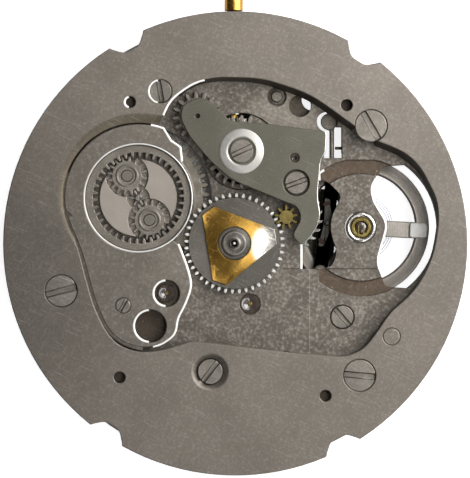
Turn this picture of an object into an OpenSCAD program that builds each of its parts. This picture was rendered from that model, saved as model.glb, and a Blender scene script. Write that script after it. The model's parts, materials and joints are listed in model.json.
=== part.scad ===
// Watch movement, 25.6 mm across, seen from its open working side (+Z).
// The origin is on the plate's axis, in the plane of the main plate's rear face.

/* [Plates] */
// Radius of the casing edge
case_r = 12.8; // [12.6:0.1:13.2]
// Thickness of the main plate
plate_t = 2.05; // [2.05:0.05:2.3]
// Thickness of the outer plate
outer_t = 1.25; // [1.15:0.05:1.5]
// How far the outer plate stays inside the casing edge
outer_step = 0.05; // [0.02:0.01:0.15]
// Width of an edge notch at its mouth
notch_w = 2.15; // [1.6:0.05:2.4]
// Depth of an edge notch
notch_depth = 0.72; // [0.4:0.02:0.9]
// Depth of the turned grooves in the web
groove_depth = 0.2; // [0.1:0.05:0.3]
// Thickness of the rear bridges
rear_t = 0.85; // [0.8:0.05:1.1]

/* [Front bridges] */
// Top of the pear and dark bridges below the outer plate's face
bridge_drop = 0.15; // [0.1:0.05:0.2]
// Thickness of the dark bridge
bridge_t = 0.55; // [0.5:0.05:0.6]
// Radius of the pear bridge's round end
pear_r = 4.05; // [3.95:0.02:4.15]
// Radius of the round opening in the pear bridge
pear_hole_r = 2.9; // [2.85:0.01:2.95]
// Thickness of the pear bridge's floor under that opening
pear_floor = 0.25; // [0.2:0.05:0.28]

/* [Barrel and winding] */
// Teeth on the barrel
barrel_n = 44; // [44:2:48]
// Height of the barrel drum
drum_h = 1.15; // [1.0:0.05:1.15]
// Height of the toothed rim of the drum
drum_rim_h = 0.3; // [0.2:0.05:0.4]
// Radius of the barrel arbor
arbor_r = 0.42; // [0.35:0.01:0.46]
// Teeth on the ratchet wheel
ratchet_n = 56; // [52:2:60]
// Teeth on the transfer wheel's pinion, which turns the ratchet wheel
transfer_pinion_n = 12; // [11:1:13]
// Teeth on the transfer wheel
transfer_n = 16; // [15:1:18]
// Teeth on the crown wheel
crown_n = 24; // [22:1:26]
// Thickness of the crown and transfer wheels
winding_wheel_t = 0.35; // [0.25:0.05:0.4]
// Teeth on the winding pinion
winding_pinion_n = 10; // [9:1:10]
// Radius of the winding stem
stem_r = 0.515; // [0.45:0.01:0.56]
// How far the stem stands out of the plate
stem_out = 1.6; // [1:0.1:3]

/* [Differential] */
// Teeth on the sun gear
sun_n = 6; // [6:1:6]
// Teeth on a planet gear
planet_n = 16; // [16:1:16]
// Distance from the barrel's axis to a planet's axis
planet_orbit = 1.361; // [1.34:0.005:1.38]
// Direction of the first planet
planet_angle = 116.9; // [100:1:130]
// Radius of a planet's post
post_r = 0.3; // [0.25:0.01:0.35]
// Thickness of the planets
planet_t = 0.3; // [0.2:0.02:0.3]

/* [Going train] */
// Leaves on the second wheel's pinion, which the barrel drives
second_pinion_n = 20; // [18:1:20]
// Teeth on the second wheel
second_n = 64; // [60:2:66]
// Leaves on the third wheel's pinion
third_pinion_n = 10; // [10:1:11]
// Teeth on the third wheel
third_n = 60; // [58:2:62]
// Leaves on the centre pinion
centre_pinion_n = 10; // [10:1:11]
// Teeth on the centre wheel
centre_n = 44; // [42:1:45]
// Leaves on the escape pinion
escape_pinion_n = 9; // [9:1:10]
// Thickness of a wheel
wheel_t = 0.15; // [0.12:0.01:0.18]
// Radius of the wheels' arbors
shaft_r = 0.2; // [0.16:0.01:0.22]
// Radius of the wheels' pivots
pivot_r = 0.1; // [0.08:0.01:0.12]
// Reach of the friction spring's arms
spring_reach = 2.3; // [2.1:0.05:2.4]
// Width of an arm's tip
spring_tip_w = 0.8; // [0.6:0.05:0.9]

/* [Escapement] */
// Teeth on the escape wheel
escape_n = 24; // [24:1:24]
// Radius over the escape wheel's teeth
escape_r = 2.05; // [1.95:0.01:2.06]
// Half of the angle that the pallets span, seen from the escape wheel
pallet_span = 26.25; // [26:0.25:26.5]
// Width of a pallet stone
stone_w = 0.16; // [0.12:0.01:0.18]

/* [Balance] */
// Radius over the balance rim
balance_r = 3.815; // [3.7:0.01:3.82]
// Width of the balance rim
rim_w = 0.77; // [0.6:0.01:0.8]
// Height of the balance rim
rim_h = 0.5; // [0.4:0.05:0.5]
// Number of balance arms
arm_count = 3; // [2:1:4]
// Width of a balance arm
arm_w = 0.9; // [0.6:0.05:1]
// Radius of the impulse pin's path
impulse_r = 0.38; // [0.36:0.01:0.4]
// Turns of the hairspring
hair_turns = 3; // [2:1:3]
// Pitch of the hairspring's turns
hair_pitch = 0.5; // [0.5:0.01:0.52]
// Thickness of the hairspring
hair_w = 0.06; // [0.05:0.01:0.07]

/* [Fasteners] */
// Radius of a large plate screw's head
screw_r = 0.87; // [0.8:0.01:0.9]
// Width of a screw's slot
slot_w = 0.3; // [0.2:0.01:0.35]
// Depth of a screw's slot
slot_depth = 0.18; // [0.1:0.02:0.2]

/* [Clearances] */
// Radial clearance of a pivot or shaft in its hole
fit = 0.02; // [0.012:0.002:0.04]
// Gap between a moving wheel and what it passes
gap = 0.1; // [0.06:0.01:0.12]
// Backlash of the teeth, as a share of the pitch
backlash = 0.14; // [0.1:0.01:0.2]

/* [Hidden] */
$fn = 48;

// Axes in plan
barrel_at = [-5.34, 2.5];
second_at = [-3.79, -2.74];
third_at = [0.81, -3.35];
centre_at = [-0.05, 0];
escape_at = [2.81, 1.45];
crown_at = [0.34, 5.07];
transfer_at = [-2.08, 7.0];
stem_x = -0.09;
click_at = [-9.9, -2.4];
// The balance rim passes the escape wheel's arbor with this clearance, in this direction from it
arbor_clear = 0.144;
balance_a = -7.877;

function dir(a, b) = atan2(b[1] - a[1], b[0] - a[0]);
function dist(a, b) = norm(b - a);
function polar(r, a) = [r * cos(a), r * sin(a)];
// Module of two wheels in mesh at a distance
function gear_module(a, b, n1, n2) = 2 * dist(a, b) / (n1 + n2);
// Angle of a tooth of the second wheel, for it to mesh with a tooth of the first at a1
function meshed(line, a1, n1, n2) = line + 180 + ((line - a1) * n1 - 180) / n2;
function wrap(i, n) = (i + n) % n;

// A closed outline from corners [x, y, radius], each rounded by a short curve
function corner(p, q, r, s) = let (
        u = (p - q) / norm(p - q),
        v = (r - q) / norm(r - q),
        t = min(s, 0.48 * norm(p - q), 0.48 * norm(r - q)))
    s == 0 ? [q] : [for (k = [0:4]) let (f = k / 4)
        (1 - f) * (1 - f) * (q + t * u) + 2 * f * (1 - f) * q + f * f * (q + t * v)];
function xy(p) = [p[0], p[1]];
function rounded(c) = let (n = len(c)) [for (i = [0:n - 1])
    each corner(xy(c[wrap(i - 1, n)]), xy(c[i]), xy(c[wrap(i + 1, n)]), c[i][2])];
function arc(c, r, a, b, n) = [for (i = [0:n]) c + polar(r, a + (b - a) * i / n)];

// Outline of a spur wheel. Flanks are radial to the pitch circle, and the tips are pointed arches.
function tooth(r, m, w, a, add, ded) = [
    polar(r - ded * m, a - w), polar(r, a - w), polar(r + 0.6 * add * m, a - 0.68 * w),
    polar(r + add * m, a - 0.22 * w), polar(r + add * m, a + 0.22 * w),
    polar(r + 0.6 * add * m, a + 0.68 * w), polar(r, a + w), polar(r - ded * m, a + w)];
function half_tooth(n) = 90 / n * (1 - backlash);
module spur(n, m, t, phase, add = 1.0, ded = 1.25) {
    linear_extrude(t)
        polygon([for (i = [0:n - 1])
            each tooth(n * m / 2, m, half_tooth(n), phase + i * 360 / n, add, ded)]);
}
function tip_r(n, m) = n * m / 2 + m;

balance_at = escape_at + polar(balance_r + shaft_r + arbor_clear, balance_a);

// Heights
front_z = plate_t + outer_t;
bridge_top = front_z - bridge_drop;
bridge_z = bridge_top - bridge_t;
ratchet_z = 0.07;
ratchet_t = 0.2;
second_z = 0.35;
drum_z = 0.6;
drum_top = drum_z + drum_h;
third_z = 0.9;
rim_z = 0.25;
arm_z = rim_z + 0.15;
arm_t = 0.2;
pallet_bridge_z = 0.98;
pallet_bridge_t = 0.18;
escape_z = 1.32;
pocket_z = escape_z + wheel_t + 2 * gap - 0.05;
crown_z = plate_t + gap;
centre_z = plate_t + 0.3;
second_seat_z = bridge_top - 0.55;
well_top = 0.95;

// Gears
barrel_m = gear_module(barrel_at, second_at, barrel_n, second_pinion_n);
second_m = gear_module(second_at, third_at, second_n, third_pinion_n);
third_m = gear_module(third_at, centre_at, third_n, centre_pinion_n);
centre_m = gear_module(centre_at, escape_at, centre_n, escape_pinion_n);
ratchet_m = gear_module(barrel_at, transfer_at, ratchet_n, transfer_pinion_n);
crown_m = gear_module(crown_at, transfer_at, crown_n, transfer_n);
planet_m = 2 * planet_orbit / (sun_n + planet_n);
ring_n = sun_n + 2 * planet_n;

barrel_a = 3;
second_pinion_a = meshed(dir(barrel_at, second_at), barrel_a, barrel_n, second_pinion_n);
second_a = second_pinion_a;
third_pinion_a = meshed(dir(second_at, third_at), second_a, second_n, third_pinion_n);
third_a = third_pinion_a;
centre_pinion_a = meshed(dir(third_at, centre_at), third_a, third_n, centre_pinion_n);
centre_a = centre_pinion_a;
escape_a = meshed(dir(centre_at, escape_at), centre_a, centre_n, escape_pinion_n);
crown_a = 90;
transfer_a = meshed(dir(crown_at, transfer_at), crown_a, crown_n, transfer_n);
ratchet_a = meshed(dir(transfer_at, barrel_at), transfer_a, transfer_pinion_n, ratchet_n);
sun_a = 0;
planet_a = meshed(planet_angle, sun_a, sun_n, planet_n);
planet_b = meshed(planet_angle + 180, sun_a, sun_n, planet_n);
ring_a = planet_angle - ((planet_angle - planet_a) * planet_n + 180) / ring_n;

drum_r = barrel_n * barrel_m / 2 - 1.25 * barrel_m - gap;
barrel_well_r = tip_r(barrel_n, barrel_m) + gap;

// Stem and the face teeth of the crown wheel
face_r = 1.6;
face_h = 0.16;
// Half widths of a face tooth at its root and tip, as shares of the pitch
face_root = 0.18;
face_tip = 0.09;
winding_r = winding_pinion_n * face_r / crown_n;
winding_m = 2 * winding_r / winding_pinion_n;
stem_z = crown_z - face_h / 2 - winding_r;
winding_y = crown_at[1] + face_r;
winding_l = 0.5;
// The stem inside the plate, its pilot and the square that the sliding pinion rides on
stem_inner_r = 0.35;
pilot_r = 0.25;
pilot_l = 0.7;
square_w = 0.4;
sliding_r = 0.5;
sliding_l = 1.2;
pocket_end = 2.02;
stem_pocket_top = stem_z + sliding_r + gap / 2;

// Pallets stand where the span makes their stones square to the escape wheel
line_a = balance_a;
pallet_at = escape_at + polar(escape_r / cos(pallet_span), line_a);
pallet_arm = escape_r * tan(pallet_span);
fork_l = dist(pallet_at, balance_at) - impulse_r - 0.06 - 2 * fit;

// Places of the fasteners: x, y, head radius, slot angle
plate_screw_at = [[-4.12, 8.35, 0.62, 100], [7.45, 6.46, screw_r, 120], [-9.57, -2.61, screw_r, 15],
    [6.82, -7.25, screw_r, -5], [-1.38, -7.04, 0.68, 52]];
bridge_screw_at = [[3.35, 3.33, 0.62, 20], [5.9, -4.06, 0.62, -49]];
foot_hole_at = [[-5.79, 7.76], [6.11, 7.59], [-6.36, -7.36], [4.95, -8.37]];
foot_hole_r = 0.31;
notch_at = [56.1, 118.1, 236.1, 297.8];

recess_path = rounded([[-4.08, 6.83, 0.3], [-3.58, 7.93, 0.6], [-2.27, 8.86, 0.6], [-1.06, 9.13, 0.6],
    [1.47, 9.08, 1], [4.1, 8.2, 1], [6.46, 6.5, 0.7], [7.67, 5.65, 0.6], [9.21, 5.07, 0.6],
    [10.14, 4.25, 0.8], [11.07, 2.44, 1], [11.18, 1.26, 0.8], [10.85, -0.83, 1], [9.86, -2.61, 1],
    [8.49, -3.79, 0.5], [7.78, -4.86, 0.4], [7.06, -5.8, 0.5], [6.02, -6.24, 0.5], [2.67, -5.96, 1],
    [-0.32, -5.58, 1], [-2.38, -5.36, 0.1], [-4.13, -5.9, 0.8], [-5.3, -6.0, 0.8], [-6.4, -5.62, 0.8],
    [-7.1, -4.86, 0.8], [-7.72, -3.6, 0.8], [-8.14, -2.17, 0.8], [-8.58, -0.47, 0.8],
    [-9.0, 1.0, 0.5], [-8, 2.5, 0.3], [-5.34, 5, 0.3]]);
pear_path = concat(arc(barrel_at, pear_r, 70, 190, 24),
    rounded([[-9.3, 1.6, 0.3], [-8.41, -0.47, 0.8], [-7.98, -2.17, 0.8], [-7.54, -3.6, 0.8],
    [-6.93, -4.81, 0.5], [-6.11, -5.47, 0.5], [-5.07, -5.75, 0.5], [-4.13, -5.6, 0.4],
    [-3.3, -5.0, 0.4], [-3.2, -4.15, 0.3], [-2.75, -3.3, 0.4], [-2.4, -2.3, 0.4], [-2.65, -1.3, 0.5],
    [-3.2, 0.1, 0.3]]), arc(barrel_at, 3.12, -45, 40, 12), arc(barrel_at, 3.6, 50, 60, 3));
bridge_path = rounded([[-3.04, 6.94, 0.4], [-2.87, 7.65, 0.4], [-1.83, 8.1, 0.5], [-1.0, 7.54, 0.3],
    [-0.35, 6.78, 0.15], [0.09, 6.66, 0.2], [1.19, 6.6, 0.2], [1.85, 6.55, 0.2], [3.11, 6.39, 0.6],
    [4.98, 6.15, 0.2], [4.92, 5.02, 0.2], [4.65, 4.58, 0.3], [4.46, 2.5, 0.6], [4.68, 1.5, 0.5],
    [4.32, 0.63, 0.4], [3.66, -0.12, 0.15], [3.11, 0.4, 0.3], [3.6, 1.34, 0.3], [3.45, 2.0, 0.4],
    [2.34, 2.44, 0.5], [-0.18, 3.48, 0.6], [-1.33, 4.47, 0.5], [-2.54, 5.9, 0.4]]);
web_path = rounded([[2.5, 3.48, 0], [5.03, 3.48, 0.4], [5.86, 2.62, 0.3], [5.28, 1.45, 0.6],
    [5.24, 0.6, 0.5], [5.62, -0.5, 0.4], [5.3, -1.3, 0.3], [4.37, -1.41, 0.1], [2.5, -1.41, 0],
    [2.5, -5, 0], [9.4, -5, 0], [9.86, -2.5, 0.1], [8.3, -2.4, 0.3], [7.75, -1.0, 0.5],
    [8.13, 0.24, 0.6], [8.35, 1.08, 0.4], [7.56, 2.38, 0.6], [7.45, 3.2, 0.4], [8.2, 4.25, 0.2],
    [9.7, 4.35, 0], [9.7, 5.6, 0], [2.5, 5.6, 0]]);

module at(p, z = 0) {
    translate([p[0], p[1], z]) children();
}

module bore(p, r, z0, z1, fn = 48) {
    at(p, z0) cylinder(h = z1 - z0, r = r, $fn = fn);
}

module notch(depth) {
    // A round-sided bite with a flat floor
    floor_w = notch_w * 0.42;
    for (a = notch_at)
        rotate([0, 0, a]) translate([case_r, 0, -1])
            linear_extrude(plate_t + outer_t + 2)
                polygon(rounded([[0.6, -notch_w * 0.6, 0], [-0.1, -notch_w / 2, 0.3],
                    [-depth, -floor_w / 2, 0.25], [-depth, floor_w / 2, 0.25],
                    [-0.1, notch_w / 2, 0.3], [0.6, notch_w * 0.6, 0]]));
}

module slotted_head(r, h, a, w = slot_w, depth = slot_depth) {
    rotate([0, 0, a]) difference() {
        cylinder(h = h, r = r);
        translate([-r - 1, -w / 2, h - depth]) cube([2 * r + 2, w, depth + 1]);
    }
}

module lever_way() {
    // Keyhole opening with a bar left across it, and the blind hole for the lever's end
    at(lever_head_at + [key_shift, 0], -1) cylinder(h = plate_t + 2, r = key_r);
    difference() {
        translate([key_slot[0], key_end_y, -1])
            cube([key_slot[1] - key_slot[0], lever_head_at[1] - key_end_y - key_r / 2, plate_t + 2]);
        translate([lever_rod_x + lever_rod_r + gap / 2, key_bar_y, lever_z - key_bar_h])
            cube([1, key_bar_w, key_bar_h]);
    }
    translate([lever_rod_x, lever_end_y, lever_z]) rotate([-90, 0, 0])
        cylinder(h = 1, r = lever_rod_r + fit);
}

module floor_marks() {
    // A recessed hole that opens on one side, the guide pin's seat, and two shallow steps
    bore(floor_hole_at, floor_hole_r, plate_t - floor_hole_h, plate_t + 1);
    bore(floor_hole_at + through_hole_shift, floor_hole_r, -1, plate_t - floor_hole_h + gap);
    bore(guide_pin_at, guide_seat_r, plate_t - guide_seat_h, plate_t + 1);
    intersection() {
        translate([0, 0, plate_t - 1]) linear_extrude(2) polygon(recess_path);
        for (i = [0:1])
            translate([step_x[i], step_y - 6, plate_t - (i + 1) * floor_step]) cube([10, 6, 1]);
    }
}

// The openings beside the web start here
opening_x = 3.61;

module floor_openings() {
    // Through openings on both sides of the web, over the escape wheel and the balance
    difference() {
        union() {
            at(balance_at, well_top) cylinder(h = plate_t, r = balance_r + 0.42);
            at(escape_at, well_top) cylinder(h = plate_t, r = escape_r + gap);
        }
        translate([0, 0, well_top - 1]) linear_extrude(plate_t + 3) polygon(web_path);
        translate([opening_x - 10, -10, 0]) cube([10, 20, 5]);
    }
}

module crown_recess() {
    difference() {
        at(crown_at, crown_z - face_h - gap) cylinder(h = 1, r = tip_r(crown_n, crown_m) + gap);
        at(crown_at, -1) cylinder(h = plate_t + 1, r = 0.95);
    }
}

module main_plate() {
    color([0.42, 0.4, 0.36]) difference() {
        union() {
            cylinder(h = plate_t, r = case_r, $fn = 96);
            at(crown_at, 0) cylinder(h = bridge_z, r = 0.6);
        }
        notch(notch_depth - 0.06);
        bore(barrel_at, tip_r(ratchet_n, ratchet_m) + gap, -1, ratchet_z + ratchet_t + 0.04);
        bore(barrel_at, barrel_well_r, -1, 5);
        bore(second_at, tip_r(second_n, second_m) + gap, -1, second_z + wheel_t + 0.05);
        bore(second_at, tip_r(second_pinion_n, barrel_m) + gap, -1, drum_top + 0.05);
        bore(third_at, tip_r(third_n, third_m) + gap, -1, third_z + wheel_t + 0.1);
        bore(centre_at, tip_r(centre_pinion_n, third_m) + gap, -1, third_z + wheel_t + 0.2);
        bore(balance_at, balance_r + 0.42, -1, well_top);
        bore(escape_at, escape_r + gap, -1, pocket_z);
        escapement_pocket();
        bore(transfer_at, tip_r(transfer_pinion_n, ratchet_m) + gap, -1, ratchet_z + ratchet_t + 0.1);
        bore(transfer_at, shaft_r + 0.1, -1, 5);
        at(click_at, -1) cylinder(h = 1.36, r = 2.0);
        floor_openings();
        turned_grooves();
        crown_recess();
        stem_way();
        lever_way();
        floor_marks();
        bore(centre_at, shaft_r + 0.1, -1, 5);
        bore(second_at, pivot_r + fit, -1, 5);
        bore(third_at, jewel_r, plate_t - 0.25, 5);
        bore(third_at, pivot_r + fit, -1, 5);
        bore(escape_at, 0.42, plate_t - 0.25, 5);
        bore(escape_at, shaft_r + fit, -1, 5);
        bore(pallet_at, pivot_r + fit, -1, plate_t - 0.2);
        bore(balance_at, setting_r, plate_t - 0.3, 5);
        bore(balance_at, 0.3, -1, 5);
        bore(bridge_screw_at[1], 0.67, plate_t - 0.3, 5);
        bore(bridge_screw_at[1], 0.3, 1, 5);
        bore(bridge_screw_at[0], 0.3, 1, 5);
    }
}
module escapement_pocket() {
    bar_a = line_a + 90;
    at(pallet_at, well_top - 0.1) {
        rotate([0, 0, bar_a]) translate([-3.25, -0.5, 0]) cube([6.25, 1.0, pocket_z - well_top + 0.1]);
        rotate([0, 0, bar_a]) translate([-1.45, -1.1, 0]) cube([2.9, 1.6, pocket_z - well_top + 0.1]);
        rotate([0, 0, line_a]) translate([0, -0.5, 0])
            cube([fork_l + 0.2, 1.0, pocket_z - well_top + 0.1]);
    }
    at(balance_at, well_top - 0.1) cylinder(h = pocket_z - well_top + 0.1, r = impulse_r + 0.35);
}

module turned_grooves() {
    intersection() {
        at(balance_at, plate_t - groove_depth) difference() {
            cylinder(h = 1, r = 3.8);
            translate([0, 0, -1]) cylinder(h = 3, r = 2.96);
        }
        translate([4.6, -3.4, 0]) cube([6, 8, 5]);
    }
}

module stem_way() {
    // Pocket for the two pinions under the floor, the stem's bore and its blind pilot hole
    pocket_r = winding_r + winding_m + gap;
    start = winding_y - winding_l / 2 - gap;
    translate([stem_x - pocket_r, start, -1])
        cube([2 * pocket_r, winding_y + pocket_end - start, stem_pocket_top + 1]);
    translate([stem_x - pocket_r, start, -1]) cube([2 * pocket_r, winding_l + 2 * gap, plate_t + 2]);
    along_stem(winding_y - 1) cylinder(h = 3, r = pilot_r + fit);
    along_stem(winding_y + 1) cylinder(h = 8, r = stem_inner_r + fit);
}

stud_at = [-6.16, -3.41];
plug_at = [8.58, -5.12];
plug_r = 0.47;
tail_hole_at = [-4.69, -4.54];
guide_pin_at = [2.29, 8.09];
floor_hole_at = [3.57, 7.59];
floor_hole_r = 0.6;
floor_hole_h = 0.6;
through_hole_shift = [0.7, 0.35];
guide_pin_r = 0.3;
guide_foot_r = 0.45;
guide_seat_r = 0.52;
guide_seat_h = 0.25;
// The setting lever lies in a keyhole opening: a round head and a straight rod
lever_head_at = [5.18, 6.72];
lever_head_r = 0.46;
lever_head_h = 0.5;
lever_rod_x = 5.33;
lever_rod_r = 0.13;
lever_z = 1.43;
key_r = 0.57;
key_shift = -0.11;
key_slot = [4.9, 5.88];
key_end_y = 4.71;
key_bar_y = 5.18;
key_bar_w = 0.16;
key_bar_h = 0.3;
lever_end_y = key_end_y - 0.2;
// Two shallow steps in the floor, each this deep, start at these places
floor_step = 0.03;
step_x = [2.65, 4.1];
step_y = -1.4;
jewel_r = 0.576;
setting_r = 0.86;
chaton_r = 0.55;
cap_r = 0.3;
screw_seat = 0.02;

// The slope beside the pear bridge's round end: its shift, depth and width
pear_slope_shift = [0.08, 0.2];
pear_slope_h = 0.22;
pear_slope_w = 0.5;

module outer_plate() {
    color([0.5, 0.48, 0.43]) difference() {
        at([0, 0], plate_t) cylinder(h = outer_t, r = case_r - outer_step, $fn = 96);
        notch(notch_depth);
        translate([0, 0, plate_t - 1]) linear_extrude(outer_t + 2) polygon(recess_path);
        bore(barrel_at, pear_r + 0.06, plate_t - 1, 6);
        at(barrel_at + pear_slope_shift, front_z - pear_slope_h)
            cylinder(h = pear_slope_h + 0.01, r1 = pear_r, r2 = pear_r + pear_slope_w);
        for (s = plate_screw_at) {
            bore(xy(s), s[2] + screw_seat, front_z - 0.35, 6);
            bore(xy(s), s[2] * 0.45, plate_t - 1, 6);
        }
        at(xy(plate_screw_at[4]), front_z - 0.25) cylinder(h = 0.3, r1 = 0.7, r2 = 1.05);
        for (f = foot_hole_at)
            bore(f, foot_hole_r, front_z - 0.7, 6);
        bore(plug_at, plug_r, front_z - 0.6, 6);
    }
}

module barrel_bridge() {
    // The pear-shaped bridge, its round opening with a bright chamfer
    color([0.55, 0.52, 0.46]) difference() {
        translate([0, 0, plate_t]) linear_extrude(bridge_top - plate_t) polygon(pear_path);
        bore(barrel_at, pear_hole_r, ring_z, 6);
        at(barrel_at, bridge_top - 0.1) cylinder(h = 0.11, r1 = pear_hole_r, r2 = pear_hole_r + 0.11);
        bore(barrel_at, arbor_r + fit, -1, 6);
        bore(centre_at, tip_r(centre_n, centre_m) + 0.07, centre_z - gap, 6);
        bore(second_at, 0.73, second_seat_z, 6);
        bore(second_at, pivot_r + fit + 0.05, -1, 6);
        bore(tail_hole_at, 0.9, plate_t + 0.2, 6);
        bore(stud_at, 0.41, bridge_top - 0.5, 6);
    }
}

module ring_gear() {
    r = ring_n * planet_m / 2;
    color([0.62, 0.6, 0.55]) difference() {
        at(barrel_at, ring_z) cylinder(h = ring_t, r = pear_hole_r);
        at(barrel_at, ring_z - 1) linear_extrude(ring_t + 2)
            polygon([for (i = [0:ring_n - 1])
                each tooth(r, -planet_m, half_tooth(ring_n), ring_a + i * 360 / ring_n, 1, 1.25)]);
    }
}
ring_z = plate_t + pear_floor;
ring_t = 0.65;

module train_bridge() {
    color([0.36, 0.36, 0.32]) difference() {
        union() {
            translate([0, 0, bridge_z]) linear_extrude(bridge_t) polygon(bridge_path);
            at(xy(bridge_screw_at[0]), plate_t) cylinder(h = bridge_z - plate_t, r = 0.75);
            at([4.5, 5.5], plate_t) cylinder(h = bridge_z - plate_t, r = 0.32);
            at([2.75, 6.05], plate_t) cylinder(h = bridge_z - plate_t, r = 0.28);
        }
        translate([0, 0, bridge_z - 1]) linear_extrude(bridge_t + 2) polygon(window_path);
        bore(xy(bridge_screw_at[0]), bridge_screw_at[0][2] + 0.1, bridge_top - 0.35, 6);
        bore(xy(bridge_screw_at[0]), 0.3, 0, 6);
        bore(crown_at, 0.3, 0, 6);
        bore(transfer_at, pivot_r + fit, 0, 6);
        bore([3.27, 4.7], 0.25, bridge_top - 0.3, 6);
        bore(escape_at, tip_r(escape_pinion_n, centre_m) + gap, 0, 6);
        bore(centre_at, tip_r(centre_n, centre_m) + gap, 0, bridge_z - 0.01);
    }
}
window_path = rounded([[-1.0, 7.4, 0.1], [1.55, 7.24, 0.15], [1.8, 6.72, 0.1], [1.2, 6.8, 0.1],
    [0.09, 6.85, 0.1], [-0.45, 7.05, 0.1]]);

module crown_washer() {
    color([0.71, 0.7, 0.67]) at(crown_at, bridge_top) difference() {
        cylinder(h = 0.1, r = 1.24);
        translate([0, 0, -1]) cylinder(h = 3, r = 0.74);
    }
}

module crown_screw() {
    color([0.66, 0.65, 0.62]) at(crown_at, bridge_top) {
        slotted_head(0.63, 0.14, 25, 0.2, 0.09);
        translate([0, 0, -bridge_t - 0.4]) cylinder(h = bridge_t + 0.4, r = 0.3);
    }
}

module plate_screws() {
    color([0.6, 0.59, 0.56])
        for (s = plate_screw_at)
            at(xy(s), front_z - 0.35) {
                slotted_head(s[2], 0.33, s[3]);
                translate([0, 0, 0.35 - outer_t]) cylinder(h = outer_t - 0.35, r = s[2] * 0.45);
            }
}

module bridge_screws() {
    color([0.6, 0.59, 0.56]) {
        at(xy(bridge_screw_at[0]), bridge_top - 0.35) {
            slotted_head(bridge_screw_at[0][2], 0.25, bridge_screw_at[0][3], 0.22, 0.12);
            translate([0, 0, -1]) cylinder(h = 1, r = 0.3);
        }
        at(xy(bridge_screw_at[1]), plate_t - 0.3) {
            slotted_head(bridge_screw_at[1][2], 0.3, bridge_screw_at[1][3], 0.22, 0.12);
            translate([0, 0, -0.6]) cylinder(h = 0.6, r = 0.3);
        }
    }
}

module jewel(p, r, z, h, hole) {
    at(p, z) difference() {
        cylinder(h = h, r = r);
        translate([0, 0, -1]) cylinder(h = h + 2, r = hole);
        translate([0, 0, h - 0.06]) cylinder(h = 0.07, r1 = hole, r2 = hole + 0.12);
    }
}

module front_jewels() {
    color([0.62, 0.1, 0.16, 1]) {
        jewel(third_at, jewel_r, plate_t - 0.25, 0.22, pivot_r + fit);
        jewel(second_at, 0.5, second_seat_z, 0.22, pivot_r + fit);
        jewel([3.27, 4.7], 0.25, bridge_top - 0.3, 0.22, 0.06);
        jewel(escape_at, 0.42, plate_t - 0.25, 0.2, shaft_r + fit);
    }
}

module balance_setting() {
    color([0.7, 0.69, 0.66]) at(balance_at, plate_t - 0.3) difference() {
        cylinder(h = 0.4, r = setting_r);
        translate([0, 0, -1]) cylinder(h = 3, r = chaton_r);
        translate([0, 0, 0.33]) cylinder(h = 0.08, r1 = chaton_r, r2 = chaton_r + 0.09);
    }
}

module shock_chaton() {
    color([0.6, 0.45, 0.18]) at(balance_at, plate_t - 0.3) difference() {
        cylinder(h = 0.3, r = chaton_r);
        translate([0, 0, 0.16]) cylinder(h = 1, r = cap_r);
        translate([0, 0, -1]) cylinder(h = 3, r = staff_pivot_r + fit);
    }
}

module cap_jewel() {
    color([0.6, 0.08, 0.14]) at(balance_at, plate_t - 0.14) cylinder(h = 0.16, r = cap_r);
}

module shock_spring() {
    // A flat lyre: an open ring with two legs that press on the cap jewel
    color([0.68, 0.52, 0.22]) at(balance_at, plate_t + 0.02) difference() {
        union() {
            difference() {
                cylinder(h = 0.05, r = 0.52);
                translate([0, 0, -1]) cylinder(h = 3, r = 0.4);
            }
            for (s = [-1, 1])
                translate([s * 0.14 - 0.04, -0.46, 0]) cube([0.08, 0.62, 0.05]);
        }
        translate([-0.12, 0.3, -1]) cube([0.24, 0.4, 3]);
    }
    color([0.68, 0.52, 0.22]) at(balance_at, plate_t) difference() {
        cylinder(h = 0.02, r = 0.52);
        translate([0, 0, -1]) cylinder(h = 3, r = 0.4);
    }
}

module bridge_stud() {
    color([0.55, 0.54, 0.5]) at(stud_at, bridge_top - 0.5) slotted_head(0.4, 0.56, 60, 0.16, 0.12);
}

module plate_plug() {
    color([0.5, 0.48, 0.44]) at(plug_at, front_z - 0.6) cylinder(h = 0.6, r = plug_r);
}

module guide_pin() {
    color([0.55, 0.53, 0.5]) at(guide_pin_at, plate_t - guide_seat_h) {
        cylinder(h = 0.4, r = guide_pin_r);
        cylinder(h = 0.1, r = guide_foot_r);
    }
}

module setting_lever() {
    color([0.5, 0.45, 0.38]) {
        at(lever_head_at, lever_z - lever_head_h / 2) cylinder(h = lever_head_h, r = lever_head_r);
        translate([lever_rod_x, lever_end_y, lever_z]) rotate([-90, 0, 0])
            cylinder(h = lever_head_at[1] - lever_end_y, r = lever_rod_r);
    }
}

module pallet_bridge() {
    color([0.5, 0.49, 0.46]) at(pallet_at, pallet_bridge_z) rotate([0, 0, line_a + 90])
        difference() {
            union() {
                translate([0, 0, 0]) linear_extrude(pallet_bridge_t)
                    polygon(rounded([[-3.15, -0.4, 0.3], [-2.2, -0.4, 0.3], [-0.9, -0.32, 0.6],
                        [0.9, -0.32, 0.6], [2.1, -0.4, 0.3], [2.9, -0.4, 0.3], [2.9, 0.4, 0.3],
                        [-3.15, 0.4, 0.3]]));
                for (x = [-2.75, 2.5])
                    translate([x, 0, 0]) cylinder(h = pocket_z - pallet_bridge_z, r = 0.36);
            }
            translate([0, 0, -1]) cylinder(h = 3, r = pivot_r + fit);
        }
}

module rear_zone(path) {
    intersection() {
        at([0, 0], -rear_t) cylinder(h = rear_t, r = case_r - 0.5, $fn = 96);
        translate([0, 0, -rear_t - 1]) linear_extrude(rear_t + 2) polygon(path);
    }
}

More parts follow.
